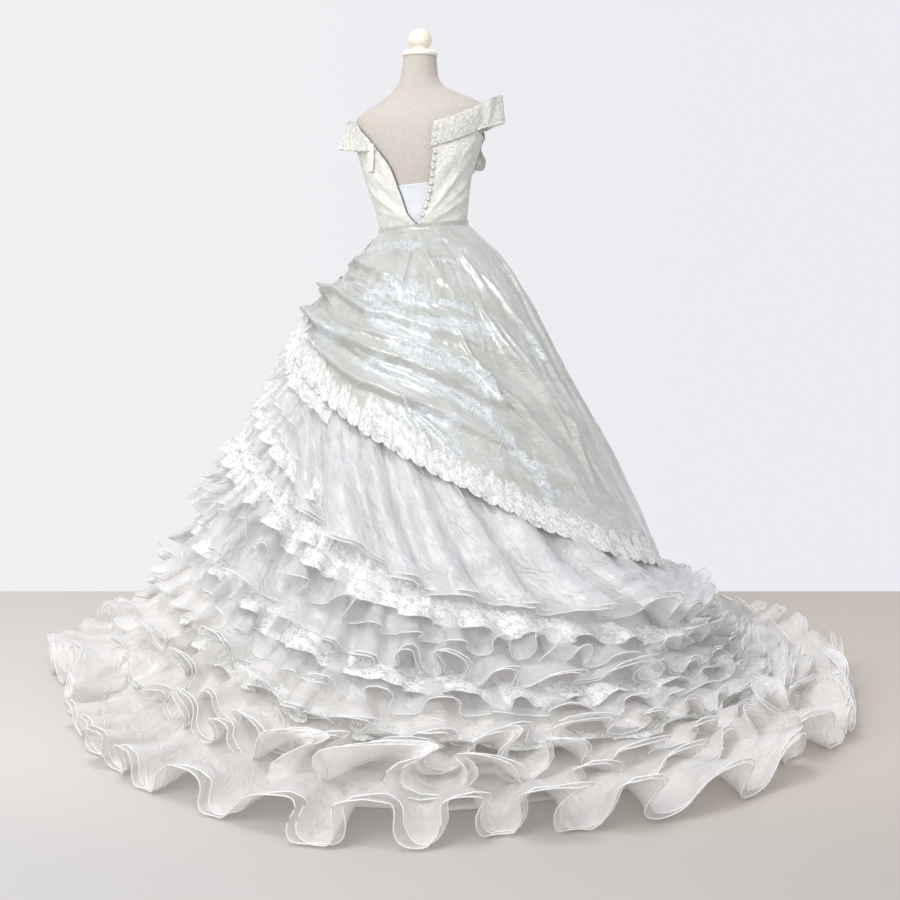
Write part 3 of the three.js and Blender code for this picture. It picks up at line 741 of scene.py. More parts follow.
# A dark colour for the painted shadow ring round each button.
BUTTON_SHADOW_RING = plain_material("button_shadow_ring", (0.34, 0.32, 0.29), 0.5)
# Dark grey: the zip's metal slider, and painted shade on its teeth and along the left back edge.
ZIP_AND_PAINTED_SHADOW = plain_material("zip", (0.20, 0.20, 0.215), 0.5)
RIBBON = satin_material("ribbon", (0.86, 0.80, 0.77), 0.5)


# The dress form

SHOULDER = 1340
FORM_RADIUS = 0.14


def dress_form():
    """The linen torso, with a shallow seam down the middle of its back."""
    build = Builder()
    angles = np.linspace(0, 360, 129)
    low = np.linspace(FORM_BOTTOM, SHOULDER, 60)
    high = np.linspace(SHOULDER + 5, NECK_TOP, 50)
    angle, height = np.meshgrid(angles, np.concatenate([low, high])[::-1], indexing="ij")
    seam = 0.8 * np.exp(-((angle - 180) % 360 - 180 - TORSO_TURN) ** 2 / 3.0)
    points = torso_point(angle, height, -seam)
    build.sheet(points, uvs=np.stack([np.radians(angle) * FORM_RADIUS, (NECK_TOP - height) * MM], -1))
    for end, row, flip in ((NECK_TOP, 0, False), (FORM_BOTTOM, -1, True)):
        rim = points[:, row]
        centre = torso_point(angles, end, 0).mean(0)
        fan = [rim + (centre - rim) * t for t in (0.0, 0.5, 0.995)]
        disc = np.stack(fan if flip else fan[::-1], 1)
        build.sheet(disc, uvs=disc[..., :2])
    return seat(build.build("form_linen", [LINEN]), "linen", "form_torso")


# Outlines of the turned wood in millimetres: radius, height above its own foot

CAP_OUTLINE = [(0, 0), (43, 0), (45, 1), (46, 3), (46, 8), (44.5, 11), (40, 14), (36, 15), (0, 15)]
FINIAL_OUTLINE = [
    (0, 0), (19, 0), (22, 1.5), (23, 4), (21.8, 7), (22.5, 9.5), (27, 12.5), (30.5, 17),
    (32, 23), (31.6, 29), (29.8, 35), (26.8, 41), (22.4, 47), (16, 52), (8, 55.6), (0, 56.8),
]
CAP_FOOT = NECK_TOP + 0.3
FINIAL_FOOT = CAP_FOOT + 15.3


def turned(name, outline, foot):
    build = Builder()
    build.lathe([(radius * MM, (foot + height) * MM) for radius, height in outline], segments=48)
    return seat(build.build(name, [WOOD]), "painted_wood", "form_" + name)


def turned_wood():
    turned("neck_cap", CAP_OUTLINE, CAP_FOOT)
    modifier = turned("finial", FINIAL_OUTLINE, FINIAL_FOOT).modifiers.new("smooth", "SUBSURF")
    modifier.levels = 1
    modifier.render_levels = 1


# The bodice

def edge_angle(side, height):
    return column(BACK_EDGES, 1 if side == "left" else 2, height)


def crease(x, y, start, end, depth, width):
    """A soft fold between two points: a ridge when depth is positive, a trough when negative."""
    ax, ay = start
    dx = end[0] - ax
    dy = end[1] - ay
    t = np.clip(((x - ax) * dx + (y - ay) * dy) / (dx * dx + dy * dy), 0, 1)
    off = np.hypot(x - ax - t * dx, y - ay - t * dy) / width
    along = np.sin(np.pi * (0.08 + 0.84 * t)) ** 0.8
    return depth * along * np.exp(1 - np.sqrt(1 + 2.2 * off ** 2))


# Creases of the bodice: start angle and height, end angle and height, depth, width

BODICE_CREASES = {
    "right": [
        (46, 1200, 0, 1092, 3.4, 6),
        (40, 1230, 8, 1120, -2.4, 6),
        (70, 1150, 6, 1088, 3.2, 7),
        (72, 1190, 10, 1100, 2.4, 8),
        (60, 1240, 14, 1130, 2.6, 9),
        (74, 1120, 10, 1084, -2.2, 7),
        (50, 1290, 16, 1200, 2.0, 9),
        (64, 1310, 40, 1230, 2.4, 10),
        (30, 1320, 18, 1250, -1.8, 8),
    ],
    "left": [
        (-76, 1200, -20, 1096, 3.4, 9),
        (-60, 1215, -24, 1120, -2.0, 7),
        (-70, 1180, -14, 1100, 3.0, 9),
        (-72, 1140, -10, 1090, 2.4, 8),
        (-64, 1240, -26, 1160, 2.6, 10),
        (-58, 1285, -40, 1190, -2.2, 9),
        (-74, 1260, -52, 1180, 2.2, 10),
        (-30, 1180, -12, 1096, 1.8, 6),
    ],
    "front": [
        (140, 1200, 170, 1100, 2.2, 10),
        (220, 1200, 190, 1100, 2.2, 10),
        (180, 1180, 178, 1090, 1.6, 9),
    ],
}
MM_PER_DEGREE = 2.2


def bodice_lift(key, angle, height):
    lift = np.zeros_like(angle)
    for start, start_height, end, end_height, depth, width in BODICE_CREASES.get(key, ()):
        first = (start * MM_PER_DEGREE, start_height)
        last = (end * MM_PER_DEGREE, end_height)
        lift += crease(angle * MM_PER_DEGREE, height, first, last, depth, width)
    lift += 0.5 * noise(angle / 5, height / 14, 11) + 0.35 * noise(angle / 2.2, height / 7, 12)
    return np.maximum(lift, -1.2)


def panel_grid(columns, rows, start, end, hump=0.0):
    """Angles and heights between two edges; an edge gives its angle and height from top (0) to waist (1)."""
    across, down = shares(columns, rows)
    start_angle, start_height = start(down)
    end_angle, end_height = end(down)
    angle = start_angle + (end_angle - start_angle) * across
    height = start_height + (end_height - start_height) * across
    return angle, height + hump * np.sin(np.pi * across) * (1 - down)


def plumb(angle, top):
    return lambda down: (angle + 0 * down, top + (BODICE_BOTTOM - top) * down)


def back_edge(side, top, inset):
    def edge(down):
        height = top + (BODICE_BOTTOM - top) * down
        return edge_angle(side, height) + inset, height
    return edge


# Panels of the bodice: node, its creases, grid size, its two edges, and how far its top bows up

UNDERARM = 1296
PANELS = [
    ("bodice_back_left", "left", 62, 80, plumb(-75.85, UNDERARM), back_edge("left", 1300, -0.15), 5),
    ("bodice_back_right", "right", 70, 86, back_edge("right", 1330, 0.15), plumb(75.85, UNDERARM), 6),
    ("bodice_side_right", "side", 24, 56, plumb(76.15, UNDERARM), plumb(111.85, UNDERARM), 0),
    ("bodice_side_left", "side", 24, 56, plumb(-111.85, UNDERARM), plumb(-76.15, UNDERARM), 0),
    ("bodice_front", "front", 80, 56, plumb(112.15, UNDERARM), plumb(247.85, UNDERARM), 14),
]


INNER_TOP = 1190
WAISTBAND_TOP = 1083.7
WAISTBAND_DEPTH = 12


def level(angle):
    return lambda down: (angle + 0 * down, WAISTBAND_TOP - WAISTBAND_DEPTH * down)


def bodice():
    for name, key, columns, rows, start, end, hump in PANELS:
        angle, height = panel_grid(columns, rows, start, end, hump)
        points = torso_point(angle, height, LAYER["bodice"] + 1.6 + bodice_lift(key, angle, height))
        cloth(name + "_cloth", points, 1.4, BODICE, "bodice_lace", name)
    angle, height = panel_grid(60, 50, plumb(-34, INNER_TOP), plumb(24, INNER_TOP))
    hem = 0.5 * np.exp(-((height - INNER_TOP + 3) / 2.5) ** 2)
    ripple = 0.35 * noise(angle / 4, height / 18, 21) + hem
    points = torso_point(angle, height, LAYER["inner"] + 1.0 + ripple)
    cloth("inner_panel_cloth", points, 0.8, INNER, "inner_satin", "inner_panel")
    angle, height = panel_grid(160, 8, level(0), level(360))
    swell = 0.7 * np.sin(np.pi * (WAISTBAND_TOP - height) / WAISTBAND_DEPTH)
    points = torso_point(angle, height, LAYER["bodice"] + 1.7 + swell)
    cloth("waistband_cloth", points, 1.4, SATIN, "bodice_satin", "waistband")


ZIP_TOP = 1286
ZIP_END = 1092
ZIP_PITCH = 1.7
SLIDER_ANGLE = -7.5
SLIDER_OUTLINE = [(0, -1.2), (2.4, -1.2), (2.7, -0.6), (2.6, 0.7), (2.0, 1.2), (0, 1.3)]


def zip_tape():
    across, down = shares(5, 60)
    height = ZIP_TOP + (ZIP_END - ZIP_TOP) * down + 0 * across
    angle = edge_angle("left", height) - 5 + 6.2 * across
    points = torso_point(angle, height, LAYER["zip"] + 1.0)
    cloth("zip_tape", points, 0.6, SATIN, "zip", "zip_tape_left")


def zip_coil():
    build = Builder()
    # Zip teeth, painted dark for the shade they sit in.
    for rise in np.arange(ZIP_END + 2, ZIP_TOP, ZIP_PITCH):
        edge = edge_angle("left", rise)
        tooth = torso_point(np.array([edge + 0.2, edge + 1.4]), rise, LAYER["zip"] + 1.4)
        build.tube(tooth, 0.55 * MM, sides=5)
    # A dark tube along the left back edge: a painted shadow line where the edge stands off the form.
    rise = np.linspace(1352, 1090, 90)
    cord = torso_point(edge_angle("left", rise) + 0.35, rise, LAYER["bodice"] + 1.9)
    build.tube(cord, 1.15 * MM, sides=8)
    seat(build.build("zip_coil", [ZIP_AND_PAINTED_SHADOW]), "zip", "zip_tape_left")


def away_from_form(angle, height, lift):
    """A place on the bodice and the direction straight out of it."""
    middle = torso_point(angle, height, LAYER["bodice"] + lift)
    out = torso_point(angle, height, LAYER["bodice"] + lift + 20) - middle
    return middle, out / np.linalg.norm(out)


def zip_slider():
    build = Builder()
    middle, out = away_from_form(SLIDER_ANGLE, BODICE_BOTTOM + 5, 3.8)
    build.lathe([(radius * MM, rise * MM) for radius, rise in SLIDER_OUTLINE], middle, out, 16)
    pull = [middle + out * 1.3 * MM + np.array([0, 0, z]) * MM for z in (0, -1.5, -3.0, -4.4)]
    build.tube(pull, 0.8 * MM, sides=8)
    seat(build.build("zip_pull", [ZIP_AND_PAINTED_SHADOW]), "zip", "zip_slider")


LABEL = {"angle": -53.5, "width": 9, "lean": -7.5, "top": 1303, "length": 70}


def label():
    """A bare ribbon that hangs off the edge of the left back."""
    across, down = shares(10, 40)
    height = LABEL["top"] - LABEL["length"] * down + 0 * across
    angle = LABEL["angle"] + LABEL["width"] * across + LABEL["lean"] * down + 0.6 * np.sin(3 * down)
    lift = LAYER["overlay"] + 3.4 + 2.2 * down + 0.8 * np.sin(5 * down + 1.5 * across)
    points = torso_point(angle, height, lift)
    cloth("label_cloth", points, 0.5, RIBBON, "ribbon", "label_ribbon")


BUTTONS = {"count": 13, "radius": 4.6, "top": 1322, "bottom": 1090, "inset": 2.2}

# Outline of a button in shares of its radius: radius, height

BUTTON_OUTLINE = [
    (0, 0), (0.7, 0), (0.95, 0.12), (1, 0.26), (0.95, 0.42),
    (0.84, 0.5), (0.72, 0.52), (0.45, 0.62), (0.2, 0.67), (0, 0.68),
]


def buttons():
    radius = BUTTONS["radius"] * MM
    turn = np.linspace(0, 2 * np.pi, 32, endpoint=False)[:, None]
    for k in range(BUTTONS["count"]):
        height = BUTTONS["top"] + (BUTTONS["bottom"] - BUTTONS["top"]) * k / (BUTTONS["count"] - 1)
        middle, out = away_from_form(edge_angle("right", height) + BUTTONS["inset"], height, 3.6)
        build = Builder()
        build.lathe([(a * radius, b * radius) for a, b in BUTTON_OUTLINE], middle, out, 28)
        side = np.cross(out, (0, 0, 1.0))
        side /= np.linalg.norm(side)
        up = np.cross(side, out)
        # A dark ring round each button's edge: painted shadow.
        ring = middle + 0.22 * radius * out + 0.98 * radius * (side * np.cos(turn) + up * np.sin(turn))
        build.tube(ring, 1.05 * MM, sides=6, slot=1, ring=True)
        name = f"button_{k + 1:02d}"
        seat(build.build(name + "_covered", [PEARL, BUTTON_SHADOW_RING]), "pearl", name)


# Lace edges

def scallops(distance, width, depth):
    """How far a scalloped edge reaches at a distance along it."""
    t = distance / width
    big = np.abs(np.sin(np.pi * t)) ** 0.6
    return depth * (big + 0.25 * np.abs(np.sin(3 * np.pi * t)))


# Lace bands that cross the back and stand off the shoulders: the share across (left) or the angle (right),
# then the top and the bottom height, and the lift at the top and at the bottom

BAND_RIGHT = np.array([
    (8.7, 1341, 1279, 9.4, 9.8),
    (20, 1349, 1284, 9.4, 9.8),
    (30, 1357, 1289, 9.6, 10),
    (45, 1369, 1301, 10.5, 11),
    (58, 1378, 1312, 13, 14),
    (68, 1386, 1318, 22, 24),
    (78, 1392, 1322, 34, 40),
    (88, 1397, 1326, 41, 53),
    (98, 1395, 1324, 39, 48),
    (108, 1384, 1318, 27, 30),
    (117, 1370, 1312, 11, 13),
])
BAND_LEFT = np.array([
    (0, 1357, 1284, 9.4, 9.8),
    (0.15, 1366, 1286, 12, 14),
    (0.32, 1370, 1294, 16, 28),
    (0.48, 1367, 1302, 20, 46),
    (0.66, 1365, 1300, 18, 40),
    (0.84, 1362, 1298, 14, 24),
    (1, 1358, 1296, 9.4, 12),
])
BAND_LENGTH = 330
BAND_LEFT_END = -117
BAND_LEFT_TOP = 1358
BESIDE = 1335


def upright(angle, height, base, lift):
    """A point that stands straight above or below a point of the torso at the base height."""
    points = torso_point(angle, base, lift)
    points[..., 2] = height * MM + TILT * points[..., 0]
    return points


def sleeve(name, side, band):
    across, down = shares(130, 26)
    first, last = band[0, 0], band[-1, 0]
    key = first + (last - first) * across
    top, bottom, lift_top, lift_bottom = [np.interp(key, band[:, 0], band[:, k]) for k in (1, 2, 3, 4)]
    reach = across * BAND_LENGTH
    free = smooth((across - 0.35) / 0.2) * smooth((1.02 - across) / 0.15)
    top = top + scallops(reach, 11, 3.5) - 3 + 1.5 * noise(reach / 30, 0 * reach, 61)
    bottom = bottom - scallops(reach, 17, 4.0) * (1 - free) + 3
    height = top + (bottom - top) * down
    pleat = 2.4 * np.sin(reach / 9 + 2.2 * down) * free + 0.5 * noise(reach / 8, down * 5, 62)
    lift = lift_top + (lift_bottom - lift_top) * down ** 1.3 + pleat
    if side == "right":
        angle = key + 0 * down
    else:
        inner = edge_angle("left", np.minimum(height, BAND_LEFT_TOP))
        angle = inner + (BAND_LEFT_END - inner) * across
    beside = smooth((np.abs(angle) - 52) / 20)
    points = upright(angle, height, height + (BESIDE - height) * beside, lift)
    free = free[:, 0]
    if side == "left":
        points = points[::-1]
        free = free[::-1]
    cloth(name + "_lace", points, 0.7, LACE_FINE, "lace", name)
    build = Builder()
    eyelashes(build, points[:, 0], grid_normals(points)[:, 0], 6.5)
    build.tube(points[free > 0.3, -1], 1.3 * MM, sides=6, slot=1)
    seat(build.build(name + "_trim", [LACE_FINE, PIPING]), "lace", name)


FLOUNCE = {"start": 108, "turn": 128, "length": 460, "top": 1318, "bottom": 1188, "highest_base": 1330}


def flounce():
    """A lace flounce that hangs across the front, with a frill at its right end."""
    across, down = shares(170, 26)
    angle = FLOUNCE["start"] + FLOUNCE["turn"] * across
    ends = np.abs(2 * across - 1)
    reach = across * FLOUNCE["length"]
    corner = 46 * smooth((ends - 0.86) / 0.14)
    high = FLOUNCE["top"] + 44 * ends ** 2 - corner + scallops(reach, 12, 4.0)
    low = FLOUNCE["bottom"] + 38 * ends - scallops(reach, 26, 8.0)
    height = high + (low - high) * down
    wave = 6 * np.sin(2 * np.pi * across * 12 + 0.8 * np.sin(9 * across)) * down ** 1.4
    frill = 12 * np.exp(-((across / 0.05) ** 2)) * (down + 0.5 * np.sin(9 * down))
    lift = LAYER["overlay"] + 2 + 18 * down + wave + frill
    points = upright(angle, height, np.minimum(height, FLOUNCE["highest_base"]), lift)
    cloth("front_flounce_lace", points, 0.7, LACE_FINE, "lace", "front_flounce")


def eyelashes(build, rim, normals, length):
    """Fine threads that stand off a lace edge."""
    rng = np.random.default_rng(5)
    taper = np.array([0.28, 0.22, 0.12]) * MM
    for i in range(0, len(rim) - 1):
        for step in (0.0, 0.5):
            root = rim[i] + (rim[i + 1] - rim[i]) * step
            lean = np.array([rng.uniform(-0.3, 0.3), rng.uniform(-0.3, 0.3), 1.0])
            tip = root + lean * length * MM * rng.uniform(0.6, 1.0) + normals[i] * 0.6 * MM
            middle = (root + tip) / 2 + normals[i] * 0.3 * MM
            build.tube([root, middle, tip], taper, sides=3, slot=1)


# The overskirt

# Folds of the overskirt, in millimetres; a line's points are its angle and drop

TUCK_COLUMNS = ("height", "above", "below", "line")
TUCKS = [
    (17, 36, 6, [(-96, 205), (-62, 215), (-40, 250), (-19, 320), (1, 360), (17, 392)]),
    (19, 38, 6, [(-92, 262), (-60, 300), (-32, 372), (-10, 440), (6, 500), (24, 572)]),
    (15, 28, 6, [(-50, 372), (-30, 440), (-17, 510), (-4, 560), (3, 582), (12, 630), (22, 684)]),
    (14, 32, 8, [(-96, 112), (-61, 112), (-26, 160), (-8, 262)]),
    (9, 16, 6, [(-50, 178), (-27, 200)]),
    (13, 22, 6, [(-80, 165), (-62, 210), (-34, 310)]),
    (8, 14, 6, [(-39, 210), (-23, 262)]),
    (9, 16, 5, [(-44, 300), (-20, 372), (8, 436), (20, 470)]),
    (8, 14, 5, [(-26, 396), (-8, 478), (10, 552)]),
    (8, 11, 5, [(-4, 560), (4, 712)]),
    (8, 11, 5, [(-4, 560), (10, 702)]),
    (7, 12, 5, [(-14, 600), (-6, 690)]),
    (10, 18, 6, [(24, 572), (30, 640), (37, 760), (42, 850)]),
    (8, 14, 5, [(14, 370), (24, 570)]),
    (7, 10, 5, [(20, 480), (23, 572)]),
    (8, 20, 6, [(34, 350), (43, 600), (45, 820)]),
    (6, 16, 6, [(2, 20), (6, 120), (14, 210)]),
    (6, 16, 6, [(22, 20), (30, 160), (37, 280)]),
    (10, 24, 8, [(75, 80), (60, 310), (58, 520), (54, 840)]),
    (9, 26, 8, [(88, 100), (72, 500), (64, 860)]),
    (9, 26, 8, [(96, 120), (92, 500), (86, 880)]),
    (12, 30, 8, [(112, 120), (108, 500), (104, 840)]),
    (12, 30, 8, [(262, 215), (236, 300), (205, 430), (172, 560)]),
    (13, 30, 7, [(263, 150), (240, 210), (212, 320), (186, 420)]),
    (10, 26, 7, [(262, 262), (246, 320), (224, 400)]),
    (10, 26, 8, [(232, 60), (206, 200), (170, 330), (150, 420)]),
    (11, 28, 8, [(150, 100), (144, 400), (128, 700)]),
    (10, 26, 8, [(176, 120), (168, 400), (156, 600)]),
    (9, 24, 8, [(132, 120), (126, 420), (116, 760)]),
    (12, 26, 7, [(27, 300), (35, 480), (43, 690)]),
    (10, 20, 6, [(14, 440), (28, 570), (37, 720)]),
    (9, 18, 6, [(38, 200), (49, 420), (53, 640)]),
    (7, 14, 6, [(32, 420), (47, 700), (52, 860)]),
]
FOLD_DEPTH = 1.75
HIP_TURN = -64.0
HIP_DROP = 0.16
METRES_PER_DEGREE = 0.0075
LEFT_EDGE = -96


def wrap(angle):
    return np.mod(angle - LEFT_EDGE, 360) + LEFT_EDGE


def along_line(turn, drop, line):
    """How far each point is from a line, on which side, and how far along the line."""
    middle_turn, middle_drop = line[len(line) // 2]
    radius = float(skirt_radius(np.array(float(middle_turn)), np.array(middle_drop * MM)))
    arc = radius * math.pi / 180
    points = np.array([(a * arc, s * MM) for a, s in line])
    lengths = np.hypot(*np.diff(points, axis=0).T)
    starts = np.concatenate([[0], np.cumsum(lengths)])
    best = np.full(turn.shape, 1e9)
    side = np.zeros(turn.shape)
    share = np.zeros(turn.shape)
    for (ax, ay), (bx, by), start, length in zip(points[:-1], points[1:], starts, lengths):
        dx = bx - ax
        dy = by - ay
        px = turn * arc - ax
        py = drop - ay
        t = np.clip((px * dx + py * dy) / (length * length), 0, 1)
        off = np.hypot(px - t * dx, py - t * dy)
        near = off < best
        best = np.where(near, off, best)
        side = np.where(near, py * dx - px * dy, side)
        share = np.where(near, (start + t * length) / starts[-1], share)
    return best, side, share


def tuck(turn, drop, height, above, below, line):
    """A soft fold with a lip: it rises gently on one side of its line and falls steeply on the other."""
    best, side, share = along_line(turn, drop, line)
    taper = np.sin(np.pi * (0.12 + 0.83 * share)) ** 0.7
    width = np.where(side < 0, above, below) * MM * (0.65 + 0.45 * share)
    return FOLD_DEPTH * height * MM * taper * np.exp(-(best / width) ** 1.6)


# Bands where a highlight is painted into the crinkled cloth's colour: width, then the line, as for the folds

GLINTS = [
    (13, [(-55, 71), (-34, 58), (-6, 78)]),
    (20, [(-23, 254), (-15, 215), (-7, 262)]),
    (14, [(-8, 330), (-17, 295), (-19, 262)]),
    (13, [(-3, 214), (1, 264)]),
    (11, [(-7, 285), (10, 280), (23, 296)]),
    (17, [(1, 350), (15, 344), (25, 353), (29, 374)]),
    (14, [(-20, 322), (-4, 395), (8, 430)]),
    (22, [(-8, 398), (4, 445), (15, 476), (21, 530)]),
    (15, [(-14, 462), (1, 505), (12, 560), (20, 608)]),
    (13, [(-4, 569), (4, 640), (10, 690)]),
    (15, [(18, 596), (24, 660), (27, 734), (30, 810)]),
    (9, [(3, 590), (9, 628)]),
    (12, [(-44, 350), (-27, 380)]),
    (8, [(20, 55), (36, 106)]),
    (7, [(15, 135), (25, 160)]),
    (7, [(46, 200), (47, 420), (46, 640)]),
]


GLINT_SPREAD = 1.35


def glint_field(angle, drop):
    """How much painted highlight each point gets, from 0 to 1, in bands with ragged edges."""
    turn = wrap(angle)
    turn = turn + 2.2 * noise(turn / 5, drop * 16, 46) + 1.2 * noise(turn / 1.7, drop * 44, 47)
    drop = drop + 0.008 * noise(turn / 4, drop * 20, 48)
    painted_glint_mask = np.zeros(turn.shape)
    for width, line in GLINTS:
        away = along_line(turn, drop, line)[0]
        painted_glint_mask = np.maximum(painted_glint_mask, np.exp(-(away / (GLINT_SPREAD * width * MM)) ** 2))
    return painted_glint_mask


def ridges(u, v, seed):
    return 1 - 2 * np.abs(noise(u, v, seed))


def fold_field(angle, drop):
    """The lift of the folds: the ones of the table, then finer ones that fan out from hip and waist."""
    turn = wrap(angle)
    wander_turn = turn + 1.6 * noise(turn / 14, drop * 7, 37)
    wander_drop = drop + 0.008 * noise(turn / 11, drop * 9, 38)
    lift = np.zeros(turn.shape)
    for row in TUCKS:
        lift += tuck(wander_turn, wander_drop, **dict(zip(TUCK_COLUMNS, row)))
    from_hip = (turn - HIP_TURN) * METRES_PER_DEGREE
    fan = np.arctan2(drop - HIP_DROP, from_hip)
    far = np.hypot(drop - HIP_DROP, from_hip)
    pulled = 0.0042 * ridges(fan * 7, far * 4, 31) + 0.0017 * ridges(fan * 19, far * 9, 32)
    pulled += 0.0007 * ridges(fan * 45, far * 22, 36)
    hung = 0.0045 * ridges(turn / 9, drop * 2.4, 33) + 0.0018 * ridges(turn / 3.6, drop * 6, 34)
    side = smooth((turn - 22) / 30)
    near = smooth(far / 0.10)
    lift += (pulled * (1 - side) * near + hung * side) * smooth(drop / 0.12)
    crumple = 0.0012 * ridges(turn / 3.1, drop * 20, 39) + 0.0005 * ridges(turn / 1.3, drop * 42, 40)
    lift += crumple * smooth(drop / 0.08)
    puff = np.exp(-((turn + 84) / 26) ** 2)
    steps = np.abs(np.sin(np.pi * (drop - 0.035) / 0.078)) ** 0.6 - 0.72
    lift += 0.02 * puff * steps * smooth((0.30 - drop) / 0.05) * smooth((drop - 0.02) / 0.04)
    pleats = 0.0022 * np.abs(np.sin(np.radians(turn) * 42 + 2 * noise(turn / 9, drop * 3, 35)))
    lift += pleats * np.exp(-drop / 0.06)
    seam = -0.006 * np.exp(-((turn + 4 + 14 * drop) / 0.8) ** 2) * smooth((0.36 - drop) / 0.1)
    return lift + seam


def overskirt_lift(angle, drop):
    hem = around(OVERSKIRT_DROP, angle)
    share = np.sqrt(np.clip((drop - 0.009) / hem, 0, 1))
    ease = np.clip(drop / 0.12, 0, 1)
    turn = wrap(angle)
    flank = np.exp(-((turn - 88) / 26) ** 2)
    waist = np.exp(-((turn + 88) / 22) ** 2) * smooth((0.24 - drop) / 0.08)
    folds = ease * (1 - 0.45 * flank - 0.5 * waist) * fold_field(angle, drop)
    return 0.0045 + 0.0225 * share * (1 - 0.35 * flank - 0.5 * waist) + folds


# Panels of the overskirt: name, first and last angle, and grid size

OVERSKIRT_PANELS = [
    ("back_left", LEFT_EDGE, -1, 200, 150),
    ("back_right", -1, 100, 205, 175),
    ("front", 100, 264, 120, 70),
]
OVERSKIRT_TOP = -0.012
SEAM_GAP = 0.03
LACE_DEPTH = 0.075


def overskirt():
    for name, first, last, columns, rows in OVERSKIRT_PANELS:
        node = "overskirt_" + name
        across, down = shares(columns, rows)
        angle = first + SEAM_GAP + (last - first - 2 * SEAM_GAP) * across
        hem = around(OVERSKIRT_DROP, angle)
        drop = OVERSKIRT_TOP + (hem - OVERSKIRT_TOP) * down
        angle = angle + 0 * down
        points = skirt_point(angle, drop, overskirt_lift(angle, drop) + 0.0015)
        piece = cloth(node + "_cloth", points, 0, CRYSTAL, "crystal_organza", node)
        # The bands of painted highlight, kept on the cloth for its material.
        painted_glint_mask = piece.data.attributes.new("glint", "FLOAT", "POINT")
        painted_glint_mask.data.foreach_set("value", glint_field(angle, drop).astype(np.float32).ravel())
        overskirt_lace(name, first, last, int(columns * 1.7))


def overskirt_lace(name, first, last, columns):
    """The lace hem: ragged above where it fades into the cloth, with small scallops below."""
    across, down = shares(columns, 24)
    angle = first + (last - first) * across
    hem = around(OVERSKIRT_DROP, angle)
    steps = np.linalg.norm(np.diff(skirt_point(angle, hem, 0)[:, 0], axis=0), axis=1)
    reach = np.concatenate([[0], np.cumsum(steps)])[:, None]
    flat = 0 * reach
    ragged = 0.018 * noise(reach * 12, flat, 41) + 0.012 * noise(reach * 31, flat, 43)
    top = hem - LACE_DEPTH - ragged
    top -= scallops(reach + 0.02 * noise(reach * 6, flat, 44), 0.052, 0.02) - 0.01
    low = hem + scallops(reach + 0.015 * noise(reach * 7, flat, 45), 0.036, 0.009)
    drop = top + (low - top) * down
    angle = angle + 0 * down
    cycle = reach * 2 * np.pi / 0.11 + 2 * noise(reach * 5, flat, 42)
    flare = 0.004 * np.sin(cycle) * smooth((down - 0.55) / 0.45)
    points = skirt_point(angle, drop, overskirt_lift(angle, np.minimum(drop, hem)) + 0.004 + flare)
    node = "overskirt_lace_" + name
    cloth(node + "_cloth", points, 0, LACE, "lace", node)


# The skirt under the tiers

GORES = [
    "back_right", "right_back", "right_front", "front_right",
    "front_left", "left_front", "left_back", "back_left",
]
GORE_TURN = 45
GORE_GAP = 0.02
GORE_REACH = 0.90


def gores():
    """Eight gores; each ends under the ruffles, at a share of the way to the edge of the train."""
    for k, name in enumerate(GORES):
        across, down = shares(31, 70)
        angle = GORE_TURN * k + GORE_GAP + (GORE_TURN - 2 * GORE_GAP) * across
        drop = down * train_edge(angle) * (GORE_REACH + 0.012 * noise(angle / 6, 0 * angle, 50))
        angle = angle + 0 * down
        ripple = 0.0012 * noise(angle / 3, drop * 9, 51 + k) * smooth(drop / 0.2)
        points = skirt_point(angle, drop, 0.0016 + np.maximum(ripple, -0.0008))
        node = "gore_" + name
        cloth(node + "_cloth", points, 1.2, LINING, "skirt_lining", node)


# Ruffles

TALLEST = 0.12
SEAM_LIFT = 0.0045
WAVE_PER_LENGTH = 0.7


def random_run(rng, waves, columns, ring):
    """A function that draws values along a ruffle and joins them smoothly, and on a ring also at its ends."""
    sigma = np.linspace(0, 1, columns)

    def draw(low, high, step=1.0):
        count = int(waves / step) + 2
        values = rng.uniform(low, high, count)
        x = sigma * (count - 2)
        if ring:
            values[-2:] = values[:2]
        i = np.minimum(x.astype(int), count - 2)
        return values[i] + (values[i + 1] - values[i]) * smooth(x - i)

    return draw


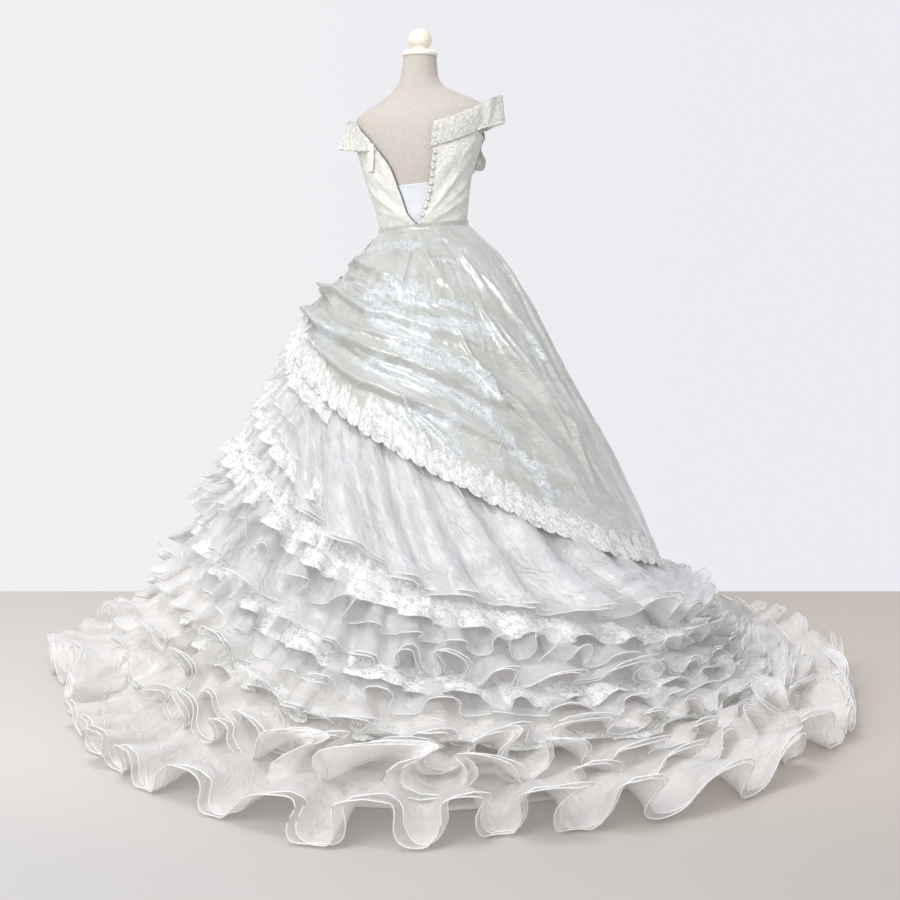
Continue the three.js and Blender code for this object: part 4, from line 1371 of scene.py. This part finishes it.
def ruffle(spec, layer):
    """The points of one ruffle: a grid from its seam to its hem, with waves that curl over at the hem."""
    waves = spec["waves"]
    per_wave = spec["fine"]
    ring = spec["to"] - spec["from"] == 360
    columns = waves * per_wave + 1
    draw = random_run(np.random.default_rng(spec["seed"]), waves, columns, ring)
    sigma = np.arange(columns) / per_wave
    density = draw(0.62, 1.5, 1.5)
    place = np.concatenate([[0], np.cumsum(0.5 / density[1:] + 0.5 / density[:-1])])
    place *= waves / place[-1]
    stretch = np.gradient(place) * per_wave
    turn = draw(*spec["curl"])[:, None]
    size = draw(0.6, 1.35)[:, None]
    skew = draw(-0.8, 0.8)[:, None]
    shear = draw(-0.5, 0.5, 1.7)[:, None]
    top = draw(-0.006, 0.006)
    hem_length = draw(-0.06, 0.05, 0.8) + draw(-0.05, 0.05, 3.0)
    fall = draw(*spec["fall"], 1.3)[:, None]
    t = np.linspace(0, 1, spec["rows"])[None, :] ** 0.9

    # The wave seen from its hem: it grows from the seam and bends back past a half turn
    grow = t ** 0.85
    bend = 0.25 + (turn - 0.25) * grow
    cycle = 2 * np.pi * (sigma[:, None] + 0.09 * layer * grow + 0.08 * skew * grow)
    theta = bend * (np.sin(cycle) + 0.16 * skew * np.sin(2 * cycle))
    theta += 0.22 * grow * np.sin(3.3 * cycle + 5 * skew) * (size - 0.65)
    mean = sliding_mean(np.cos(theta), per_wave, ring)
    along = np.cumsum(np.cos(theta) / mean, 0) / per_wave
    out = np.cumsum(np.sin(theta) / mean, 0) / per_wave
    along -= sigma[:, None]
    along -= sliding_mean(along, per_wave, ring)
    out -= sliding_mean(out, per_wave, ring)
    along += shear * out * grow

    # Its place on the skirt, between the hem of the overskirt and the edge of the train
    angle = spec["from"] + (spec["to"] - spec["from"]) * place / waves
    hem = around(OVERSKIRT_DROP, angle)
    edge = train_edge(angle)
    seam = hem + (edge - hem) * spec["top"] + top
    length = (edge - hem) * (spec["bottom"] - spec["top"]) * (1 + hem_length)
    sweep = math.radians(spec["to"] - spec["from"])
    pitch = skirt_radius(angle, seam + 0.6 * length) * sweep / waves * stretch
    scale = np.minimum(pitch, WAVE_PER_LENGTH * length)[:, None] * size * spec["size"]
    wave = out * scale
    full = np.sqrt(sliding_mean(out ** 2, per_wave, ring)) * scale * 1.42
    base = spec["lift"] * t ** 1.2
    lift = SEAM_LIFT + base + (full + wave) * np.cos(fall) - 0.006 * layer * grow
    rise = np.maximum(lift - base - SEAM_LIFT, 0)
    distance = length[:, None] * t * (1 + 0.03 * layer)
    run = np.sqrt(np.maximum(distance ** 2 - (0.75 * rise) ** 2, (0.45 * distance) ** 2))

    # Small puckers at the seam and creases all over
    crumple = spec["crumple"]
    rough = spec["rough"]
    u = (sigma[:, None] + 0 * t) * crumple
    v = 0 * u + t * crumple
    fine = 0.0026 * np.sin(cycle * 4 + 3 * skew) * np.exp(-t / 0.16)
    fine += 0.0042 * rough * ridges(u * 2.3 + 7 * v, v * 2.6, spec["seed"]) * np.sqrt(t)
    fine += 0.0022 * rough * ridges(u * 5.7, v * 6.0 + 3 * u, spec["seed"] + 1)
    fine += 0.0010 * noise(u * 9.1, v * 13, spec["seed"] + 2)
    lift = np.maximum(TALLEST * np.tanh(lift / TALLEST) + fine, 0.003 + 0.004 * t)
    drop = seam[:, None] + run + wave * np.sin(fall) * grow
    slide = along * pitch[:, None] * spec["size"] ** 0.5
    radius = np.maximum(skirt_radius(angle[:, None] + 0 * drop, drop), 0.1)
    start = spec["slant"] * (t - 0.5) * (1 - sigma / waves)[:, None] ** 2
    points = skirt_point(angle[:, None] + start + np.degrees(slide / radius), drop, lift, spec["lean"])
    if ring:
        points[-1] = points[0]
    points[..., 2] = np.maximum(points[..., 2], 0.0035)
    return points


def ruffle_uv(points):
    step = np.linalg.norm(np.diff(points, axis=0), axis=-1)[:, -1]
    u = np.concatenate([[0], np.cumsum(step)]) * 0.62
    down = np.linalg.norm(np.diff(points, axis=1), axis=-1).mean(0)
    v = np.concatenate([[0], np.cumsum(down)])
    return np.stack(np.meshgrid(u, v, indexing="ij"), -1)


# The rows of ruffles; top and bottom are shares of the way from the overskirt's hem to the train's edge

RUFFLE_COLUMNS = (
    "node", "kind", "top", "bottom", "from", "to", "waves", "curl", "size", "lift", "lean", "fall", "seed")
RUFFLE_ROWS = [
    ("tier_1_organza", "organza", -0.05, 0.275, -34, 230, 24, (1.1, 2.0), 0.9, 0.022, 0, (0, 0.5), 101),
    ("left_ruffle_1", "lace", -0.05, 0.05, -132, -24, 16, (0.8, 1.7), 0.8, 0.018, 0, (0, 0.5), 102),
    ("left_ruffle_1", "organza", 0.03, 0.115, -132, -30, 15, (0.9, 1.9), 0.9, 0.018, 0, (0, 0.5), 112),
    ("left_ruffle_2", "organza", 0.08, 0.16, -133, -26, 15, (0.9, 1.9), 0.9, 0.02, 0, (0, 0.5), 103),
    ("left_ruffle_2", "lace", 0.13, 0.21, -133, -20, 17, (0.8, 1.7), 0.8, 0.02, 0, (0, 0.5), 113),
    ("left_ruffle_3", "organza", 0.17, 0.25, -132, -21, 15, (0.9, 1.9), 0.9, 0.02, 0, (0, 0.5), 104),
    ("left_ruffle_3", "lace", 0.21, 0.29, -132, -16, 17, (0.8, 1.7), 0.8, 0.02, 0, (0, 0.5), 114),
    ("tier_2_lace", "lace", 0.24, 0.34, -180, 180, 44, (1.0, 1.95), 0.95, 0.02, 0, (0, 0.6), 105),
    ("tier_3_organza", "organza", 0.29, 0.40, -180, 180, 52, (1.3, 2.1), 1.15, 0.02, 0.1, (0, 0.7), 106),
    ("tier_3_organza", "organza", 0.35, 0.475, -180, 180, 50, (1.3, 2.1), 1.15, 0.022, 0.2, (0, 0.9), 116),
    ("tier_4_lace", "lace", 0.42, 0.52, -180, 180, 42, (1.0, 1.95), 0.95, 0.02, 0.2, (0, 0.7), 107),
    ("tier_4_lace", "organza", 0.45, 0.575, -180, 180, 50, (1.3, 2.1), 1.15, 0.02, 0.2, (0, 0.9), 117),
    ("tier_5_organza", "organza", 0.51, 0.65, -180, 180, 48, (1.3, 2.1), 1.15, 0.018, 0.3, (0.1, 0.9), 108),
    ("tier_5_organza", "lace", 0.58, 0.67, -180, 180, 38, (0.9, 1.85), 0.9, 0.018, 0.3, (0.1, 0.9), 128),
    ("tier_5_organza", "organza", 0.61, 0.76, -180, 180, 44, (1.4, 2.1), 1.1, 0.016, 0.35, (0.1, 0.9), 118),
    ("tier_6_organza", "organza", 0.70, 0.85, -180, 180, 50, (1.4, 2.1), 1.1, 0.012, 0.4, (0.1, 0.9), 119),
    ("tier_6_organza", "organza", 0.765, 1.03, -180, 180, 54, (1.4, 2.1), 1.05, 0.002, 0.45, (0, 0.75), 109),
]

# What a row has that the plain one hasn't, by seed: layers, cells down and along a wave, and crumpling

PLAIN = {"layers": 2, "rows": 11, "fine": 15, "slant": 0, "crumple": 1.0, "rough": 1.0}
SPECIAL = {
    101: {"rows": 24, "slant": 16, "crumple": 1.6, "rough": 2.0},
    112: {"layers": 1},
    103: {"layers": 1},
    104: {"layers": 1},
    106: {"layers": 1},
    117: {"layers": 1},
    118: {"rows": 12},
    119: {"fine": 20},
    109: {"rows": 14, "fine": 30, "crumple": 1.4},
}
LACE_ROW = {"layers": 1}
TRAIN_STARTS = 0.6


def ruffles():
    for k, row in enumerate(RUFFLE_ROWS):
        spec = dict(PLAIN, **dict(zip(RUFFLE_COLUMNS, row)))
        lace = spec["kind"] == "lace"
        spec.update(LACE_ROW if lace else SPECIAL.get(spec["seed"], {}))
        build = Builder()
        for layer in range(spec["layers"]):
            points = ruffle(spec, layer)
            uvs = ruffle_uv(points)
            if lace:
                hem = points[:, -1] - points[:, -2]
                hem /= np.linalg.norm(hem, axis=1, keepdims=True) + 1e-9
                points[:, -1] += hem * scallops(uvs[:, -1, 0], 0.03, 0.006)[:, None]
            build.sheet(points, uvs=uvs)
            if not lace:
                build.tube(points[:, -1], 1.25 * MM, sides=4, slot=1)
        # The train's rows take the organza copy painted lighter and warmer.
        organza = ORGANZA_TRAIN if spec["bottom"] > TRAIN_STARTS else ORGANZA
        name = f"{spec['node']}_{spec['kind']}_{k}"
        mesh = build.build(name, [LACE] if lace else [organza, PIPING])
        piece = seat(mesh, spec["kind"], spec["node"])
        declare(points)


# The room

FLOOR_END = 0.39
WALL = 16
WALL_TOP = 24
SIDE = 30
JUST_BELOW = -0.001
EYE = (0.078, -3.63, 0.99)
EYE_DOWN = 7.89
LENS = 54.3


def glow_material(name, left, right, strength):
    """A plain bright backdrop with painted light: its tone goes softly from warmer and brighter on the left
    to cooler and dimmer on the right.
    """
    nodes = Nodes(name, (0.0, 0.0, 0.0), 1.0, **{"Specular IOR Level": 0.0, "Emission Strength": strength})
    place = nodes.split(nodes.uv)
    across = nodes.math("DIVIDE", place["X"], nodes.math("SUBTRACT", place["Y"], EYE[1]))
    nodes.put(nodes.shader.inputs["Emission Color"], nodes.mix(nodes.band(across, -0.33, 0.2), left, right))
    return nodes.material


def floor_material(name, left, right):
    """A matt floor with painted shade: darker and warmer on the right, and darker towards the front."""
    nodes = Nodes(name, left, 0.8)
    place = nodes.split(nodes.uv)
    # Painted shade across the floor: the right side darker and warmer.
    tone = nodes.mix(nodes.band(place["X"], -1.2, 1.3), left, right)
    painted_front_shade = nodes.vector("MULTIPLY", tone, (0.81, 0.83, 0.86))
    nodes.paint(nodes.mix(nodes.band(place["Y"], -0.9, -1.6), tone, painted_front_shade))
    nodes.bump(nodes.noise(nodes.uv, 3.0), 0.0005)
    return nodes.material


def room():
    floor = floor_material("floor", (0.66, 0.632, 0.605), (0.588, 0.53, 0.47))
    glow = glow_material("backdrop", (0.99, 0.97, 0.985), (0.93, 0.93, 0.985), 0.9)
    planes = [
        ("floor", floor, 14, (-10, 0), (FLOOR_END, 0)),
        ("floor_far", glow, SIDE, (FLOOR_END, JUST_BELOW), (WALL, JUST_BELOW)),
        ("wall_far", glow, SIDE, (WALL, JUST_BELOW), (WALL, WALL_TOP)),
    ]
    for name, material, half, near, far in planes:
        verts = [(-half, *near), (half, *near), (half, *far), (-half, *far)]
        uvs = [(x, y) for x, y, z in verts]
        make_mesh(name, verts, [(0, 1, 2, 3)], [material], uvs, flat=True)


LAMP_COLUMNS = ("name", "place", "target", "size", "power", "color")
LAMPS = [
    ("key", (-2.3, -3.9, 2.8), (0, -0.4, 0.6), 2.4, 95, (1.0, 0.985, 0.96)),
    ("glint", (-0.5, -1.8, 3.5), (0, -0.5, 0.8), 1.2, 48, (0.97, 0.99, 1.0)),
    ("fill", (3.4, -3.4, 2.0), (0, -0.4, 0.6), 3.0, 22, (0.97, 0.98, 1.0)),
]


def lights():
    world = bpy.data.worlds.new("studio")
    bpy.context.scene.world = world
    world.use_nodes = True
    background = world.node_tree.nodes["Background"]
    background.inputs["Color"].default_value = (0.93, 0.93, 0.97, 1)
    background.inputs["Strength"].default_value = 0.62
    for row in LAMPS:
        lamp(**dict(zip(LAMP_COLUMNS, row)))


def lamp(name, place, target, size, power, color):
    data = bpy.data.lights.new(name, "AREA")
    data.size = size
    data.energy = power
    data.color = color
    light = bpy.data.objects.new(name, data)
    light.location = place
    aim = Vector(target) - Vector(place)
    light.rotation_euler = aim.to_track_quat("-Z", "Y").to_euler()
    bpy.context.scene.collection.objects.link(light)


def camera():
    data = bpy.data.cameras.new("camera")
    data.sensor_width = 36
    data.lens = LENS
    view = bpy.data.objects.new("camera", data)
    view.location = EYE
    view.rotation_euler = (math.radians(90 - EYE_DOWN), 0, 0)
    bpy.context.scene.collection.objects.link(view)
    bpy.context.scene.camera = view
    settings = bpy.context.scene.view_settings
    settings.view_transform = "Standard"
    settings.look = "None"


def stand():
    """The stand keeps its solids from the frame and gets a metal finish."""
    for name in ("form_flange", "form_pole", "form_base"):
        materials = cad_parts[name].data.materials
        materials.clear()
        materials.append(METAL)


camera()
room()
lights()
dress_form()
turned_wood()
stand()
bodice()
zip_tape()
zip_coil()
zip_slider()
label()
buttons()
sleeve("sleeve_right", "right", BAND_RIGHT)
sleeve("sleeve_left", "left", BAND_LEFT)
flounce()
gores()
overskirt()
ruffles()
